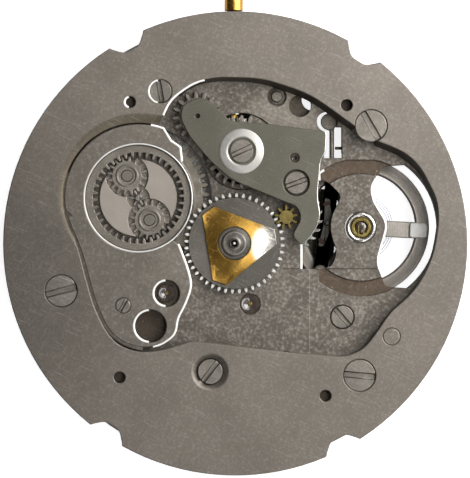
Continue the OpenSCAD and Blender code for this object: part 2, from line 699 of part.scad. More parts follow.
module rear_seat(p, r) {
    bore(p, r, -rear_t - 1, -rear_t + 0.3);
    bore(p, 0.26, -rear_t - 1, 1);
}
rear_screw_at = [for (p = [[2, 161], [2, 121.3], [2.4, 89.5], [1.7, 210.3], [2.7, 251.6], [3.6, 286.5],
    [2.85, 39.3], [4.1, 328]]) polar(case_r - p[0], p[1])];
rear_screw_r = 0.55;
rear_jewel_r = 0.45;

module rear_screw_seats() {
    for (p = rear_screw_at) {
        bore(p, rear_screw_r + screw_seat, -rear_t - 1, -rear_t + 0.35);
        bore(p, 0.28, -rear_t - 1, 1);
    }
}

module rear_barrel_bridge() {
    color([0.52, 0.5, 0.45]) difference() {
        rear_zone(rounded([[-13, -1.2, 0], [-4.2, -0.6, 0.8], [-1.7, 2.0, 0.8], [0.5, 3.5, 0.8],
            [1.5, 6, 1], [1.2, 13, 0], [-13, 13, 0]]));
        rear_screw_seats();
        bore(barrel_at, 0.3 + fit, -9, 1);
        rear_seat(transfer_at, rear_jewel_r);
    }
}

module rear_train_bridge() {
    color([0.52, 0.5, 0.45]) difference() {
        rear_zone(rounded([[-13, -1.5, 0], [-4.3, -0.9, 0.8], [-1.7, 1.75, 0.8], [0.7, 3.2, 0.6],
            [5.4, 3.0, 0.5], [5.6, 0.9, 0.6], [5.4, -1.5, 0.6], [3.3, -2.2, 0.8], [4.2, -4.2, 1], [6.6, -6.8, 1],
            [7, -13, 0], [-13, -13, 0]]));
        rear_screw_seats();
        for (p = [second_at, third_at, centre_at, escape_at])
            rear_seat(p, rear_jewel_r);
    }
}

module balance_cock() {
    color([0.52, 0.5, 0.45]) difference() {
        rear_zone(rounded([[6.1, 3.2, 0.8], [6.1, 7.3, 0.6], [9.2, 7.3, 0.9], [8.9, 5.2, 0.6],
            [7.35, 4.6, 0.6], [7.35, 2.2, 0.8], [7.95, 0.88, 0.8], [7.35, -0.5, 0.8], [7.35, -3.3, 0.6],
            [8.7, -3.9, 0.6], [8.8, -5.6, 0.7], [6.5, -5.6, 0.5], [6.05, -3.6, 0.6], [6.1, -0.5, 0.8],
            [5.9, 0.88, 0.6]]));
        rear_screw_seats();
        rear_seat(balance_at, rear_jewel_r);
        bore(balance_at + polar(hair_end_r + stud_gap, hair_end_a), 0.09, -0.3, 1, 16);
    }
}

module rear_screws() {
    color([0.62, 0.61, 0.58])
        for (p = rear_screw_at)
            at(p, -rear_t + 0.35) {
                rotate([180, 0, 0]) slotted_head(rear_screw_r, 0.33, 20 + 37 * p[0], 0.18, 0.12);
                cylinder(h = rear_t - 0.35, r = 0.28);
            }
}

module rear_jewels() {
    color([0.62, 0.1, 0.16])
        for (p = [transfer_at, second_at, third_at, centre_at, escape_at])
            jewel(p, rear_jewel_r, -rear_t + 0.05, 0.25, pivot_r + fit);
    color([0.62, 0.1, 0.16]) jewel(balance_at, rear_jewel_r, -rear_t + 0.05, 0.25, staff_pivot_r + fit);
}

module hairspring_stud() {
    color([0.6, 0.59, 0.56]) at(balance_at) rotate([0, 0, hair_end_a])
        translate([hair_end_r + stud_gap, 0, -0.3]) cylinder(h = 0.5, r = 0.09, $fn = 16);
}

module barrel_drum() {
    color([0.66, 0.63, 0.56]) at(barrel_at) difference() {
        union() {
            translate([0, 0, drum_z]) cylinder(h = drum_h, r = drum_r, $fn = 72);
            translate([0, 0, drum_top - drum_rim_h]) spur(barrel_n, barrel_m, drum_rim_h, barrel_a);
        }
        translate([0, 0, drum_z - 1]) cylinder(h = 1 + drum_h - 0.2, r = drum_r - 0.2, $fn = 72);
        translate([0, 0, drum_z - 1]) cylinder(h = 5, r = arbor_r + fit);
    }
}

module barrel_cover() {
    color([0.62, 0.6, 0.54]) at(barrel_at, drum_z) difference() {
        cylinder(h = 0.18, r = drum_r - 0.2, $fn = 72);
        translate([0, 0, -1]) cylinder(h = 3, r = arbor_r + fit);
    }
}

module mainspring() {
    // The wound pack of the spring against the drum's wall
    color([0.45, 0.46, 0.5]) at(barrel_at, drum_z + 0.22) difference() {
        cylinder(h = drum_h - 0.46, r = drum_r - 0.2, $fn = 72);
        translate([0, 0, -1]) cylinder(h = 5, r = 1.4);
    }
}

module barrel_arbor() {
    color([0.6, 0.6, 0.58]) at(barrel_at) {
        translate([0, 0, -rear_t + 0.05]) cylinder(h = rear_t - 0.05 + 0.04, r = 0.3);
        translate([0, 0, 0.03]) cylinder(h = ring_z - 0.03 + 0.02, r = arbor_r);
        translate([0, 0, drum_z + 0.22]) cylinder(h = drum_h - 0.46, r = 1.0);
        translate([0, 0, ring_z]) cylinder(h = bridge_top - 0.22 - ring_z, r = 0.15);
    }
}

module ratchet_wheel() {
    color([0.6, 0.6, 0.57]) at(barrel_at, ratchet_z) difference() {
        spur(ratchet_n, ratchet_m, ratchet_t, ratchet_a);
        translate([0, 0, -1]) cylinder(h = 3, r = arbor_r);
    }
}
planet_z = ring_z + 0.2;

module sun_gear() {
    color([0.6, 0.6, 0.58]) at(barrel_at, planet_z) difference() {
        spur(sun_n, planet_m, planet_t, sun_a);
        translate([0, 0, -1]) cylinder(h = 3, r = 0.15);
    }
}

module planet_carrier() {
    // A light disc with pockets for the sun and the planets, which open into one another
    top = planet_z + planet_t;
    color([0.62, 0.6, 0.55]) at(barrel_at) {
        difference() {
            translate([0, 0, ring_z + 0.05])
                cylinder(h = top - ring_z - 0.05, r = ring_n * planet_m / 2 - planet_m - gap);
            translate([0, 0, planet_z - 0.04]) cylinder(h = 3, r = 0.63);
            for (a = [planet_angle, planet_angle + 180])
                at(polar(planet_orbit, a), planet_z - 0.04)
                    cylinder(h = 3, r = tip_r(planet_n, planet_m) + 0.06);
            cylinder(h = 9, r = 0.15 + fit);
        }
        for (a = [planet_angle, planet_angle + 180])
            at(polar(planet_orbit, a), ring_z + 0.06) {
                cylinder(h = top - ring_z, r = post_r);
                cylinder(h = planet_z - ring_z - 0.08, r = 0.5);
            }
    }
}

module planet(a, phase) {
    color([0.6, 0.59, 0.55]) at(barrel_at + polar(planet_orbit, a), planet_z) difference() {
        union() {
            spur(planet_n, planet_m, planet_t, phase);
            cylinder(h = planet_t + 0.05, r = 0.61);
        }
        translate([0, 0, -1]) cylinder(h = 3, r = post_r + fit);
        translate([0, 0, planet_t]) cylinder(h = 1, r = 0.49);
    }
}

module planet_gear_a() {
    planet(planet_angle, planet_a);
}

module planet_gear_b() {
    planet(planet_angle + 180, planet_b);
}

module crown_wheel() {
    pitch = 2 * PI * face_r / crown_n;
    color([0.62, 0.62, 0.6]) at(crown_at, crown_z) {
        difference() {
            spur(crown_n, crown_m, winding_wheel_t, crown_a);
            translate([0, 0, -1]) cylinder(h = 3, r = 0.6 + fit);
        }
        for (i = [0:crown_n - 1])
            rotate([90, 0, dir(crown_at, [stem_x, winding_y]) + i * 360 / crown_n + 90])
                translate([0, 0, -face_r - 0.2]) linear_extrude(0.4)
                    polygon([[-face_root * pitch, 0.02], [-face_tip * pitch, -face_h],
                        [face_tip * pitch, -face_h], [face_root * pitch, 0.02]]);
    }
}

module transfer_wheel() {
    color([0.62, 0.62, 0.6]) at(transfer_at) {
        translate([0, 0, crown_z]) spur(transfer_n, crown_m, winding_wheel_t, transfer_a);
        translate([0, 0, 0.02]) spur(transfer_pinion_n, ratchet_m, 0.3, transfer_a);
        translate([0, 0, 0.01]) cylinder(h = bridge_z - 0.04, r = shaft_r);
        translate([0, 0, -rear_t + 0.06]) cylinder(h = front_z, r = pivot_r);
    }
}

module along_stem(y) {
    translate([stem_x, y, stem_z]) rotate([-90, 0, 0]) children();
}
pinion_y = winding_y - winding_l / 2;
slide_y = winding_y + 0.45;

module stem() {
    square_y = slide_y - gap / 2;
    shoulder_y = winding_y + pocket_end;
    color([0.66, 0.5, 0.22]) {
        along_stem(pinion_y - pilot_l) cylinder(h = slide_y - 0.01 - pinion_y + pilot_l, r = pilot_r);
        along_stem(square_y) translate([-square_w / 2, -square_w / 2, 0])
            cube([square_w, square_w, shoulder_y + 0.2 - square_y]);
        along_stem(shoulder_y) cylinder(h = case_r + gap / 2 - shoulder_y, r = stem_inner_r);
        along_stem(case_r + gap / 2) cylinder(h = stem_out - gap / 2, r = stem_r);
    }
}

module winding_pinion() {
    color([0.6, 0.6, 0.58]) along_stem(pinion_y) difference() {
        spur(winding_pinion_n, winding_m, winding_l, -90 + 180 / winding_pinion_n, 0.8, 1.2);
        translate([0, 0, -1]) cylinder(h = 3, r = pilot_r);
    }
}

module sliding_pinion() {
    teeth = 12;
    m = 2 * sliding_r / (teeth + 2);
    color([0.6, 0.6, 0.58]) along_stem(slide_y) difference() {
        union() {
            cylinder(h = 0.35, r = sliding_r);
            cylinder(h = sliding_l, r = 0.36);
            translate([0, 0, sliding_l - 0.45]) spur(teeth, m, 0.45, 0);
        }
        translate([-square_w / 2, -square_w / 2, -1]) cube([square_w, square_w, sliding_l + 2]);
    }
}

module crossings(n, r0, r1, w, t) {
    // Openings between the arms of a wheel
    intersection() {
        difference() {
            translate([0, 0, -0.5]) cylinder(h = t + 1, r = r1);
            translate([0, 0, -1]) cylinder(h = t + 2, r = r0);
            for (i = [0:n - 1])
                rotate([0, 0, i * 360 / n]) translate([0, -w / 2, -1]) cube([r1 + 1, w, t + 2]);
        }
        translate([-20, -20, -1]) cube([40, 40, t + 2]);
    }
}

module second_wheel() {
    color([0.68, 0.54, 0.26]) at(second_at) {
        translate([0, 0, second_z]) difference() {
            spur(second_n, second_m, wheel_t, second_a);
            crossings(5, 0.7, second_n * second_m / 2 - 0.6, 0.35, wheel_t);
        }
        translate([0, 0, drum_top - drum_rim_h])
            spur(second_pinion_n, barrel_m, drum_rim_h, second_pinion_a);
        translate([0, 0, 0.03]) cylinder(h = drum_top, r = shaft_r);
        translate([0, 0, -rear_t + 0.06]) cylinder(h = rear_t + second_seat_z + 0.1, r = pivot_r);
    }
}

module third_wheel() {
    color([0.68, 0.54, 0.26]) at(third_at) {
        translate([0, 0, third_z]) difference() {
            spur(third_n, third_m, wheel_t, third_a);
            crossings(4, 0.6, third_n * third_m / 2 - 0.45, 0.3, wheel_t);
        }
        translate([0, 0, second_z - 0.1]) spur(third_pinion_n, second_m, wheel_t + 0.2, third_pinion_a);
        translate([0, 0, 0.03]) cylinder(h = third_z + wheel_t + 0.02, r = shaft_r);
        translate([0, 0, -rear_t + 0.06]) cylinder(h = rear_t + plate_t - 0.12, r = pivot_r);
    }
}
centre_wheel_t = wheel_t + 0.03;

module centre_wheel() {
    color([0.5, 0.49, 0.45]) at(centre_at) {
        translate([0, 0, centre_z]) spur(centre_n, centre_m, centre_wheel_t, centre_a);
        translate([0, 0, third_z - 0.1])
            spur(centre_pinion_n, third_m, wheel_t + 0.2, centre_pinion_a);
        translate([0, 0, 0.03]) cylinder(h = centre_z, r = shaft_r);
        translate([0, 0, -rear_t + 0.06]) cylinder(h = rear_t, r = pivot_r);
    }
}

module friction_spring() {
    // A three-armed plate spring whose tips bend down onto the wheel
    z = centre_z + centre_wheel_t;
    color([0.7, 0.52, 0.2]) at(centre_at, z) difference() {
        union() {
            translate([0, 0, 0.03]) linear_extrude(0.06)
                polygon([for (k = [0:2]) let (a = 9.3 + 120 * k) each [
                    polar(spring_reach, a) + polar(spring_tip_w / 2, a - 90),
                    polar(spring_reach, a) + polar(spring_tip_w / 2, a + 90)]]);
            for (k = [0:2])
                rotate([0, 0, 9.3 + 120 * k]) translate([spring_reach - 0.1, -spring_tip_w / 2, 0])
                    cube([0.1, spring_tip_w, 0.06]);
        }
        translate([0, 0, -1]) cylinder(h = 3, r = 0.93);
    }
}

module centre_hub() {
    z = centre_z + centre_wheel_t;
    color([0.66, 0.66, 0.64]) at(centre_at, z) difference() {
        union() {
            cylinder(h = 0.14, r = 0.9);
            cylinder(h = 0.28, r = 0.63);
            cylinder(h = 0.5, r = 0.24);
        }
        translate([0, 0, 0.2]) cylinder(h = 1, r = 0.19);
    }
}

module escape_wheel() {
    step = 360 / escape_n;
    color([0.66, 0.65, 0.6]) at(escape_at) {
        translate([0, 0, escape_z]) difference() {
            linear_extrude(wheel_t)
                polygon([for (i = [0:escape_n - 1]) let (a = i * step) each [
                    polar(escape_r - 0.34, a), polar(escape_r - 0.06, a + 0.42 * step),
                    polar(escape_r, a + 0.66 * step), polar(escape_r - 0.05, a + 0.7 * step),
                    polar(escape_r - 0.22, a + 0.62 * step), polar(escape_r - 0.34, a + 0.72 * step)]]);
            crossings(4, 0.45, escape_r - 0.5, 0.22, wheel_t);
        }
        translate([0, 0, 0.03]) cylinder(h = centre_z + 0.1, r = shaft_r);
        translate([0, 0, -rear_t + 0.06]) cylinder(h = rear_t, r = pivot_r);
    }
}

module escape_pinion() {
    color([0.72, 0.55, 0.22]) at(escape_at, centre_z - 0.1) difference() {
        spur(escape_pinion_n, centre_m, 0.45, escape_a);
        translate([0, 0, -1]) cylinder(h = 3, r = shaft_r);
    }
    color([0.72, 0.55, 0.22]) at(escape_at, centre_z + 0.13) cylinder(h = 0.22, r = shaft_r);
}

stone_at = polar(escape_r + 0.12, pallet_span) - [dist(escape_at, pallet_at), 0];

module pallet_fork() {
    color([0.62, 0.62, 0.6]) at(pallet_at, escape_z) {
        rotate([0, 0, line_a]) difference() {
            linear_extrude(wheel_t)
                polygon(rounded([[-0.2, 0.3, 0.15], [stone_at[0] + 0.02, stone_at[1] + 0.4, 0.1],
                    [stone_at[0] + 0.32, stone_at[1] + 0.36, 0.1], [0.3, 0.2, 0.2], [fork_l - 0.35, 0.08, 0.1],
                    [fork_l - 0.2, 0.24, 0.05], [fork_l, 0.2, 0], [fork_l - 0.02, 0.08, 0],
                    [fork_l - 0.22, 0.08, 0], [fork_l - 0.22, -0.08, 0], [fork_l - 0.02, -0.08, 0],
                    [fork_l, -0.2, 0], [fork_l - 0.2, -0.24, 0.05], [fork_l - 0.35, -0.08, 0.1],
                    [0.3, -0.2, 0.2], [stone_at[0] + 0.32, -stone_at[1] - 0.36, 0.1],
                    [stone_at[0] + 0.02, -stone_at[1] - 0.4, 0.1], [-0.2, -0.3, 0.15]]));
            for (s = [-1, 1])
                stone(s);
        }
        translate([0, 0, -0.12]) cylinder(h = wheel_t + 0.2, r = 0.16);
        translate([0, 0, pallet_bridge_z + 0.02 - escape_z]) cylinder(h = 0.85, r = pivot_r);
    }
}

module stone(s) {
    // A pallet stone, square to the escape wheel's rim
    translate([-dist(escape_at, pallet_at), 0, -0.03]) rotate([0, 0, s * pallet_span])
        translate([escape_r + 0.12, -stone_w / 2, 0]) cube([0.36, stone_w, wheel_t + 0.06]);
}

module pallet_stones() {
    color([0.65, 0.08, 0.16]) at(pallet_at, escape_z) rotate([0, 0, line_a])
        for (s = [-1, 1])
            stone(s);
}

module balance_wheel() {
    color([0.62, 0.58, 0.5]) at(balance_at) {
        difference() {
            translate([0, 0, rim_z]) cylinder(h = rim_h, r = balance_r, $fn = 72);
            translate([0, 0, rim_z - 1]) cylinder(h = 3, r = balance_r - rim_w, $fn = 72);
            translate([0, 0, rim_z + rim_h - 0.08]) cylinder(h = 1, r = balance_r - rim_w + 0.05);
        }
        difference() {
            union() {
                for (i = [0:arm_count - 1])
                    rotate([0, 0, i * 360 / arm_count - 3])
                        translate([0, -arm_w / 2, arm_z]) cube([balance_r - rim_w + 0.03, arm_w, arm_t]);
                translate([0, 0, arm_z]) cylinder(h = arm_t, r = 0.75);
            }
            translate([0, 0, -1]) cylinder(h = 5, r = 0.2);
        }
    }
}

module balance_weights() {
    color([0.78, 0.77, 0.74]) at(balance_at)
        for (i = [0:arm_count - 1])
            rotate([0, 0, i * 360 / arm_count - 3])
                translate([balance_r - rim_w - 0.3, 0, rim_z + rim_h]) linear_extrude(0.14)
                    polygon(rounded([[0, -0.42, 0.15], [1.0, -0.42, 0.2], [1.0, 0.42, 0.2],
                        [0, 0.42, 0.15]]));
}
staff_pivot_r = 0.07;
roller_z = 1.18;

module balance_staff() {
    color([0.64, 0.64, 0.62]) at(balance_at) {
        translate([0, 0, 0.02]) cylinder(h = roller_z + 0.1 - 0.02, r = 0.2);
        translate([0, 0, roller_z]) cylinder(h = pocket_z - roller_z, r = 0.14);
        translate([0, 0, hair_z - 0.06]) cylinder(h = 0.12, r = hair_r0 - 0.02);
        translate([0, 0, -rear_t + 0.08]) cylinder(h = rear_t + plate_t - 0.24, r = staff_pivot_r);
    }
}

module roller() {
    color([0.6, 0.6, 0.58]) at(balance_at, roller_z) difference() {
        cylinder(h = 0.1, r = impulse_r + 0.1);
        translate([0, 0, -1]) cylinder(h = 3, r = 0.2);
    }
    color([0.65, 0.08, 0.16]) at(balance_at + polar(impulse_r, line_a + 180), roller_z + 0.05)
        cylinder(h = 0.28, r = 0.06, $fn = 16);
}

// The hairspring is one tube of six sides along a spiral
hair_r0 = 0.42;
hair_z = 0.12;
hair_steps = 24;
hair_end_r = hair_r0 + hair_pitch * hair_turns;
hair_end_a = 90;
stud_gap = 0.09 + hair_w / 2 + 0.02;
hair_rings = hair_steps * hair_turns;
function hair_point(i) = let (a = hair_end_a - 360 * (hair_rings - i) / hair_steps)
    polar(hair_r0 + hair_pitch * i / hair_steps, a);
function hair_ring(i) = let (p = hair_point(i), q = hair_point(i + 0.5) - hair_point(i - 0.5),
    s = [q[1], -q[0]] / norm(q)) [for (k = [0:5]) let (c = hair_w / 2 * cos(60 * k),
        h = 0.05 * sin(60 * k)) [p[0] + c * s[0], p[1] + c * s[1], h]];
hair_gap = min([for (i = [0:hair_rings - hair_steps])
    norm(hair_point(i + hair_steps) - hair_point(i))]) - hair_w;
echo(hairspring_least_gap_mm = hair_gap);

module hairspring() {
    n = hair_rings;
    color([0.3, 0.36, 0.55]) at(balance_at, hair_z)
        polyhedron(
            points = [for (i = [0:n]) each hair_ring(i)],
            faces = concat(
                [for (k = [1:4]) [0, k + 1, k]],
                [for (k = [1:4]) [6 * n, 6 * n + k, 6 * n + k + 1]],
                [for (i = [0:n - 1]) for (k = [0:5]) [6 * i + k, 6 * i + (k + 1) % 6, 6 * i + 6 + k]],
                [for (i = [0:n - 1]) for (k = [0:5])
                    [6 * i + (k + 1) % 6, 6 * i + 6 + (k + 1) % 6, 6 * i + 6 + k]]));
}

module click() {
    // The pawl stands just clear of the ratchet wheel's teeth
    reach = dist(click_at, barrel_at) - tip_r(ratchet_n, ratchet_m) - 0.06;
    color([0.6, 0.6, 0.58]) at(click_at, 0.04) rotate([0, 0, dir(click_at, barrel_at)]) difference() {
        union() {
            cylinder(h = 0.22, r = 0.5);
            linear_extrude(0.22)
                polygon([[0, -0.48], [reach - 0.3, -0.3], [reach, 0.1], [reach - 0.25, 0.24], [0, 0.48]]);
        }
        translate([0, 0, -1]) cylinder(h = 3, r = 0.25 + fit);
    }
}

module click_spring() {
    color([0.5, 0.5, 0.52]) at(click_at, 0.06) {
        translate([-0.66, -1.45, 0]) cube([0.12, 1.5, 0.15]);
        translate([-0.6, -1.45, 0]) cylinder(h = 0.3, r = 0.2);
    }
}

main_plate();
outer_plate();
barrel_bridge();
ring_gear();
train_bridge();
crown_washer();
crown_screw();
plate_screws();
bridge_screws();
front_jewels();
balance_setting();
shock_chaton();
shock_spring();
cap_jewel();
bridge_stud();
plate_plug();
guide_pin();
setting_lever();
pallet_bridge();
rear_barrel_bridge();
rear_train_bridge();
balance_cock();
rear_screws();
rear_jewels();
hairspring_stud();
barrel_drum();
barrel_cover();
mainspring();
barrel_arbor();
ratchet_wheel();
sun_gear();
planet_carrier();
planet_gear_a();
planet_gear_b();
crown_wheel();
transfer_wheel();
stem();
winding_pinion();
sliding_pinion();
second_wheel();
third_wheel();
centre_wheel();
friction_spring();
centre_hub();
escape_wheel();
escape_pinion();
pallet_fork();
pallet_stones();
balance_wheel();
balance_weights();
balance_staff();
roller();
hairspring();
click();
click_spring();
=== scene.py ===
"""Looks of a bare mechanical watch movement, seen straight down on its open working side.

Every piece is built around the CAD frame, in metres. Sizes that belong to the construction come from the
frame's nodes, and sizes that belong to a finish are fields of the classes here.
"""

import json
import logging
import math
from dataclasses import dataclass
from enum import Enum
from itertools import repeat
from typing import Callable, ClassVar, Dict, Iterable, List, Optional, Sequence, Tuple, Union

import bmesh
import bpy
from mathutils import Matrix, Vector


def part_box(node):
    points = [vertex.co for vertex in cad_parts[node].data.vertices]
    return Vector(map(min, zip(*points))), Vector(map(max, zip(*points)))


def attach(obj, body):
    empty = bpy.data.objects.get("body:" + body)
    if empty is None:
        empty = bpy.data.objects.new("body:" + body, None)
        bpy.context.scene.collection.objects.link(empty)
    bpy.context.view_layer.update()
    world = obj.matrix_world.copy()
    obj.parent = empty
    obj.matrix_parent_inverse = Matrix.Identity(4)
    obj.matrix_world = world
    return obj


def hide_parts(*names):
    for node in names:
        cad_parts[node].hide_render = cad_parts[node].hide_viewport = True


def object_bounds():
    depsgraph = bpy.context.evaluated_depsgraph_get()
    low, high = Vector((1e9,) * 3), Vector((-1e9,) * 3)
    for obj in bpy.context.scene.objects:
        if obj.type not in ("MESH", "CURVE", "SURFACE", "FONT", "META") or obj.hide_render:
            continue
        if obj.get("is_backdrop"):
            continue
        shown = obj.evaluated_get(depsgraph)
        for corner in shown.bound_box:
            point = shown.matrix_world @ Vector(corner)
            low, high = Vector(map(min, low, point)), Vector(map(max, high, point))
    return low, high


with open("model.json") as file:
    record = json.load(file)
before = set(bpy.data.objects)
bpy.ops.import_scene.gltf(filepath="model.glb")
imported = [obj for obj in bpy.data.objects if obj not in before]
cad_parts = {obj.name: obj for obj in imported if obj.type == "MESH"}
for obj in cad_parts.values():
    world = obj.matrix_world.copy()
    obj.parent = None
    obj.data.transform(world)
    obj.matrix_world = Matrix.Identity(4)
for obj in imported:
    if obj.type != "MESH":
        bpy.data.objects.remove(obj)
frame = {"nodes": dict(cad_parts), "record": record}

MM = 0.001
# Corners closer than this are one, in metres, and edges sharper than this are rounded, in degrees.
MERGE = 2e-7
SHARP = 31.0
LOG = logging.getLogger("movement")

Rgb = Tuple[float, float, float]
Point = Tuple[float, float]
Seat = Tuple[Vector, float, float]

# Marks that all metals share. Each scratch row gives turn, length, width, rarity and seed, and each
# row of dust gives cell, radius and seed, in degrees and millimetres.
SCRATCHES = ((24, 1.4, 0.05, 0.66, 1.0), (-58, 1.0, 0.04, 0.68, 5.0))
DUST = ((0.45, 0.045, 0.0), (0.9, 0.06, 7.0))
BRUSHING = (0.5, 16.0, 0.5)
BUMP_SHARE, BUMP_H = 0.5, 0.02
ROUGH_SPAN = 0.2

def operator(operation: str, flipped: bool = False) -> Callable[["Sock", "Value"], "Sock"]:
    """Makes the method of one Python operator, with its terms flipped where a number comes first.

    Args:
        operation: The Math node's operation.
        flipped: The number comes first, as in 1 - value.

    Returns:
        The method.
    """

    def method(self: "Sock", other: "Value") -> "Sock":
        """Adds one Math node on both values."""
        return self.math(operation, *((other, self) if flipped else (self, other)))

    return method

class Sock:
    """One output of a node, which takes part in Python arithmetic."""

    def __init__(self, tree: "Tree", socket: Optional[bpy.types.NodeSocket]) -> None:
        """Keeps the socket and the tree that it belongs to."""
        self.tree = tree
        self.socket = socket

    def math(self, operation: str, *terms: "Value") -> "Sock":
        """Adds one Math node on the given terms."""
        return self.tree.node("ShaderNodeMath", {"operation": operation}, dict(enumerate(terms)))

    __add__, __radd__ = operator("ADD"), operator("ADD", True)
    __sub__, __rsub__ = operator("SUBTRACT"), operator("SUBTRACT", True)
    __mul__, __rmul__ = operator("MULTIPLY"), operator("MULTIPLY", True)

    def largest(self, other: "Value") -> "Sock":
        """The larger of two values."""
        return self.math("MAXIMUM", self, other)

    def sine(self) -> "Sock":
        """Sine of an angle in radians."""
        return self.math("SINE", self)

    def rise(self, low: float, high: float) -> "Sock":
        """Smooth step from 0 at low to 1 at high, which is the smaller for a falling step."""
        inputs = {"Value": self, "From Min": low, "From Max": high}
        return self.tree.node("ShaderNodeMapRange", {"interpolation_type": "SMOOTHSTEP"}, inputs)

Value = Union[float, int, tuple, Sock]

class Tree:
    """A node tree under construction, for a material, the world or a Geometry Nodes group."""

    def __init__(self, nodes: bpy.types.NodeTree) -> None:
        """Keeps the node tree."""
        self.nodes = nodes

    def node(self, kind: str, settings: Optional[dict] = None, inputs: Optional[dict] = None,
             output: Union[int, str] = 0) -> Sock:
        """Adds any node.

        Args:
            kind: The node's type.
            settings: Its properties, set first. "stops" fills a colour ramp with (place, colour) pairs.
            inputs: Values or links of its sockets, by name or number. A list fills a joining socket.
            output: The socket that is handed back, by name or number.

        Returns:
            The output socket, wrapped.
        """
        made = self.nodes.nodes.new(kind)
        for key, value in (settings or {}).items():
            if key == "stops":
                self._fill_ramp(made.color_ramp, value)
            else:
                setattr(made, key, value)
        for key, values in (inputs or {}).items():
            for value in values if isinstance(values, list) else [values]:
                if isinstance(value, Sock):
                    self.nodes.links.new(value.socket, made.inputs[key])
                else:
                    made.inputs[key].default_value = value
        return Sock(self, made.outputs[output] if made.outputs else None)

    @staticmethod
    def _fill_ramp(ramp: bpy.types.ColorRamp, stops: Sequence[Tuple[float, Rgb]]) -> None:
        """Sets a colour ramp's stops.

        Args:
            ramp: The colour ramp.
            stops: Place and colour of each stop, from left to right.
        """
        while len(ramp.elements) < len(stops):
            ramp.elements.new(0.5)
        for element, (place, colour) in zip(ramp.elements, stops):
            element.position = place
            element.color = (*colour, 1.0)

    def blend(self, share: Value, first: Value, second: Value) -> Sock:
        """Mixes two colours, by the share of the second one."""
        pair = [(*c, 1.0) if isinstance(c, tuple) else c for c in (first, second)]
        return self.node("ShaderNodeMix", {"data_type": "RGBA"}, {0: share, 6: pair[0], 7: pair[1]}, 2)

    def place(self, turn: float = 0.0, stretch: Tuple[float, float, float] = (1, 1, 1),
              centre: Tuple[float, float, float] = (0, 0, 0)) -> Sock:
        """Object coordinates in millimetres, turned about Z and stretched.

        Args:
            turn: Turn about Z, in degrees.
            stretch: Scale along each axis.
            centre: The pattern's centre on the object, in millimetres.

        Returns:
            The coordinates as a vector.
        """
        here = self.node("ShaderNodeTexCoord", output="Object")
        in_mm = self.node("ShaderNodeVectorMath", {"operation": "SCALE"}, {0: here, "Scale": 1 / MM})
        moved = self.node("ShaderNodeVectorMath", {"operation": "SUBTRACT"}, {0: in_mm, 1: centre})
        turned = self.node("ShaderNodeMapping", {"vector_type": "POINT"},
                           {"Vector": moved, "Rotation": (0, 0, math.radians(turn))})
        return self.node("ShaderNodeVectorMath", {"operation": "MULTIPLY"}, {0: turned, 1: stretch})

    def axis(self, name: str) -> Sock:
        """One object coordinate in millimetres, by its letter."""
        return self.node("ShaderNodeSeparateXYZ", None, {0: self.place()}, name)

    def radius(self, centre: Point) -> Sock:
        """Distance in millimetres from a vertical axis."""
        flat = self.node("ShaderNodeVectorMath", {"operation": "MULTIPLY"},
                         {0: self.place(centre=(*centre, 0.0)), 1: (1, 1, 0)})
        return self.node("ShaderNodeVectorMath", {"operation": "LENGTH"}, {0: flat}, "Value")

    def noise(self, size: float, detail: float = 3.0, at: Optional[Sock] = None,
              seed: float = 0.0) -> Sock:
        """Cloudy noise.

        Args:
            size: Size of its largest spots, in millimetres.
            detail: Number of finer layers.
            at: Coordinates, or the object's own where it is left out.
            seed: Place in the fourth dimension, for another pattern.

        Returns:
            A value about 0.5.
        """
        inputs = {"Vector": at or self.place(), "W": seed, "Scale": 1 / size, "Detail": detail}
        return self.node("ShaderNodeTexNoise", {"noise_dimensions": "4D"}, inputs)

    def specks(self, cell: float, radius: float, seed: float = 0.0) -> Sock:
        """Small round specks, one in each cell of a loose grid.

        Args:
            cell: Size of a cell, in millimetres.
            radius: Radius of a speck, in millimetres.
            seed: Shift of the grid, for another pattern.

        Returns:
            1 in a speck and 0 outside.
        """
        at = self.place(centre=(seed, seed * 0.7, seed * 0.3))
        inputs = {"Vector": at, "Scale": 1 / cell, "Randomness": 1.0}
        reach = self.node("ShaderNodeTexVoronoi", {"feature": "F1"}, inputs, "Distance")
        return reach.rise(radius / cell, radius / cell * 0.4)

    def scratches(self, turn: float, length: float, width: float, rarity: float, seed: float) -> Sock:
        """Long thin scratches in one direction.

        Args:
            turn: Direction, in degrees.
            length: Length of a scratch, in millimetres.
            width: Width, in millimetres.
            rarity: From 0.5, crowded, to 0.9, very rare.
            seed: Picks another pattern.

        Returns:
            1 in a scratch and 0 outside.
        """
        at = self.place(turn, (1 / length, 1 / width, 1 / length))
        lines = self.noise(1.0, 1.0, at, seed)
        return lines.rise(rarity, rarity + 0.05)

def material(name: str, fill: Callable[[Tree], Dict[str, Value]]) -> bpy.types.Material:
    """Makes a material of one Principled shader, or finds the one that was made before.

    Args:
        name: The material's name.
        fill: Takes the material's tree and gives the shader's inputs.

    Returns:
        The material.
    """
    if name in bpy.data.materials:
        return bpy.data.materials[name]
    made = bpy.data.materials.new(name)
    made.use_nodes = True
    made.node_tree.nodes.clear()
    tree = Tree(made.node_tree)
    shader = tree.node("ShaderNodeBsdfPrincipled", None, fill(tree))
    tree.node("ShaderNodeOutputMaterial", None, {"Surface": shader})
    return made

@dataclass(frozen=True)
class Patch:
    """A round or ring-shaped patch of another tone, between two heights, such as painted shade in a hole
    or a painted highlight.
    """

    centre: Point
    outer: float
    tone: Rgb
    inner: float = -1.0
    low: float = -9.0
    high: float = 9.0
    share: float = 0.9
    edge: float = 0.04

    def mask(self, tree: Tree) -> Sock:
        """Share of the patch's tone over the surface.

        Args:
            tree: The material's tree.

        Returns:
            A value from 0 to the patch's share.
        """
        reach, z, e = tree.radius(self.centre), tree.axis("Z"), self.edge
        ring = reach.rise(self.outer + e, self.outer - e) * reach.rise(self.inner - e, self.inner + e)
        band = z.rise(self.low - e, self.low + e) * z.rise(self.high + e, self.high - e)
        return ring * band * self.share

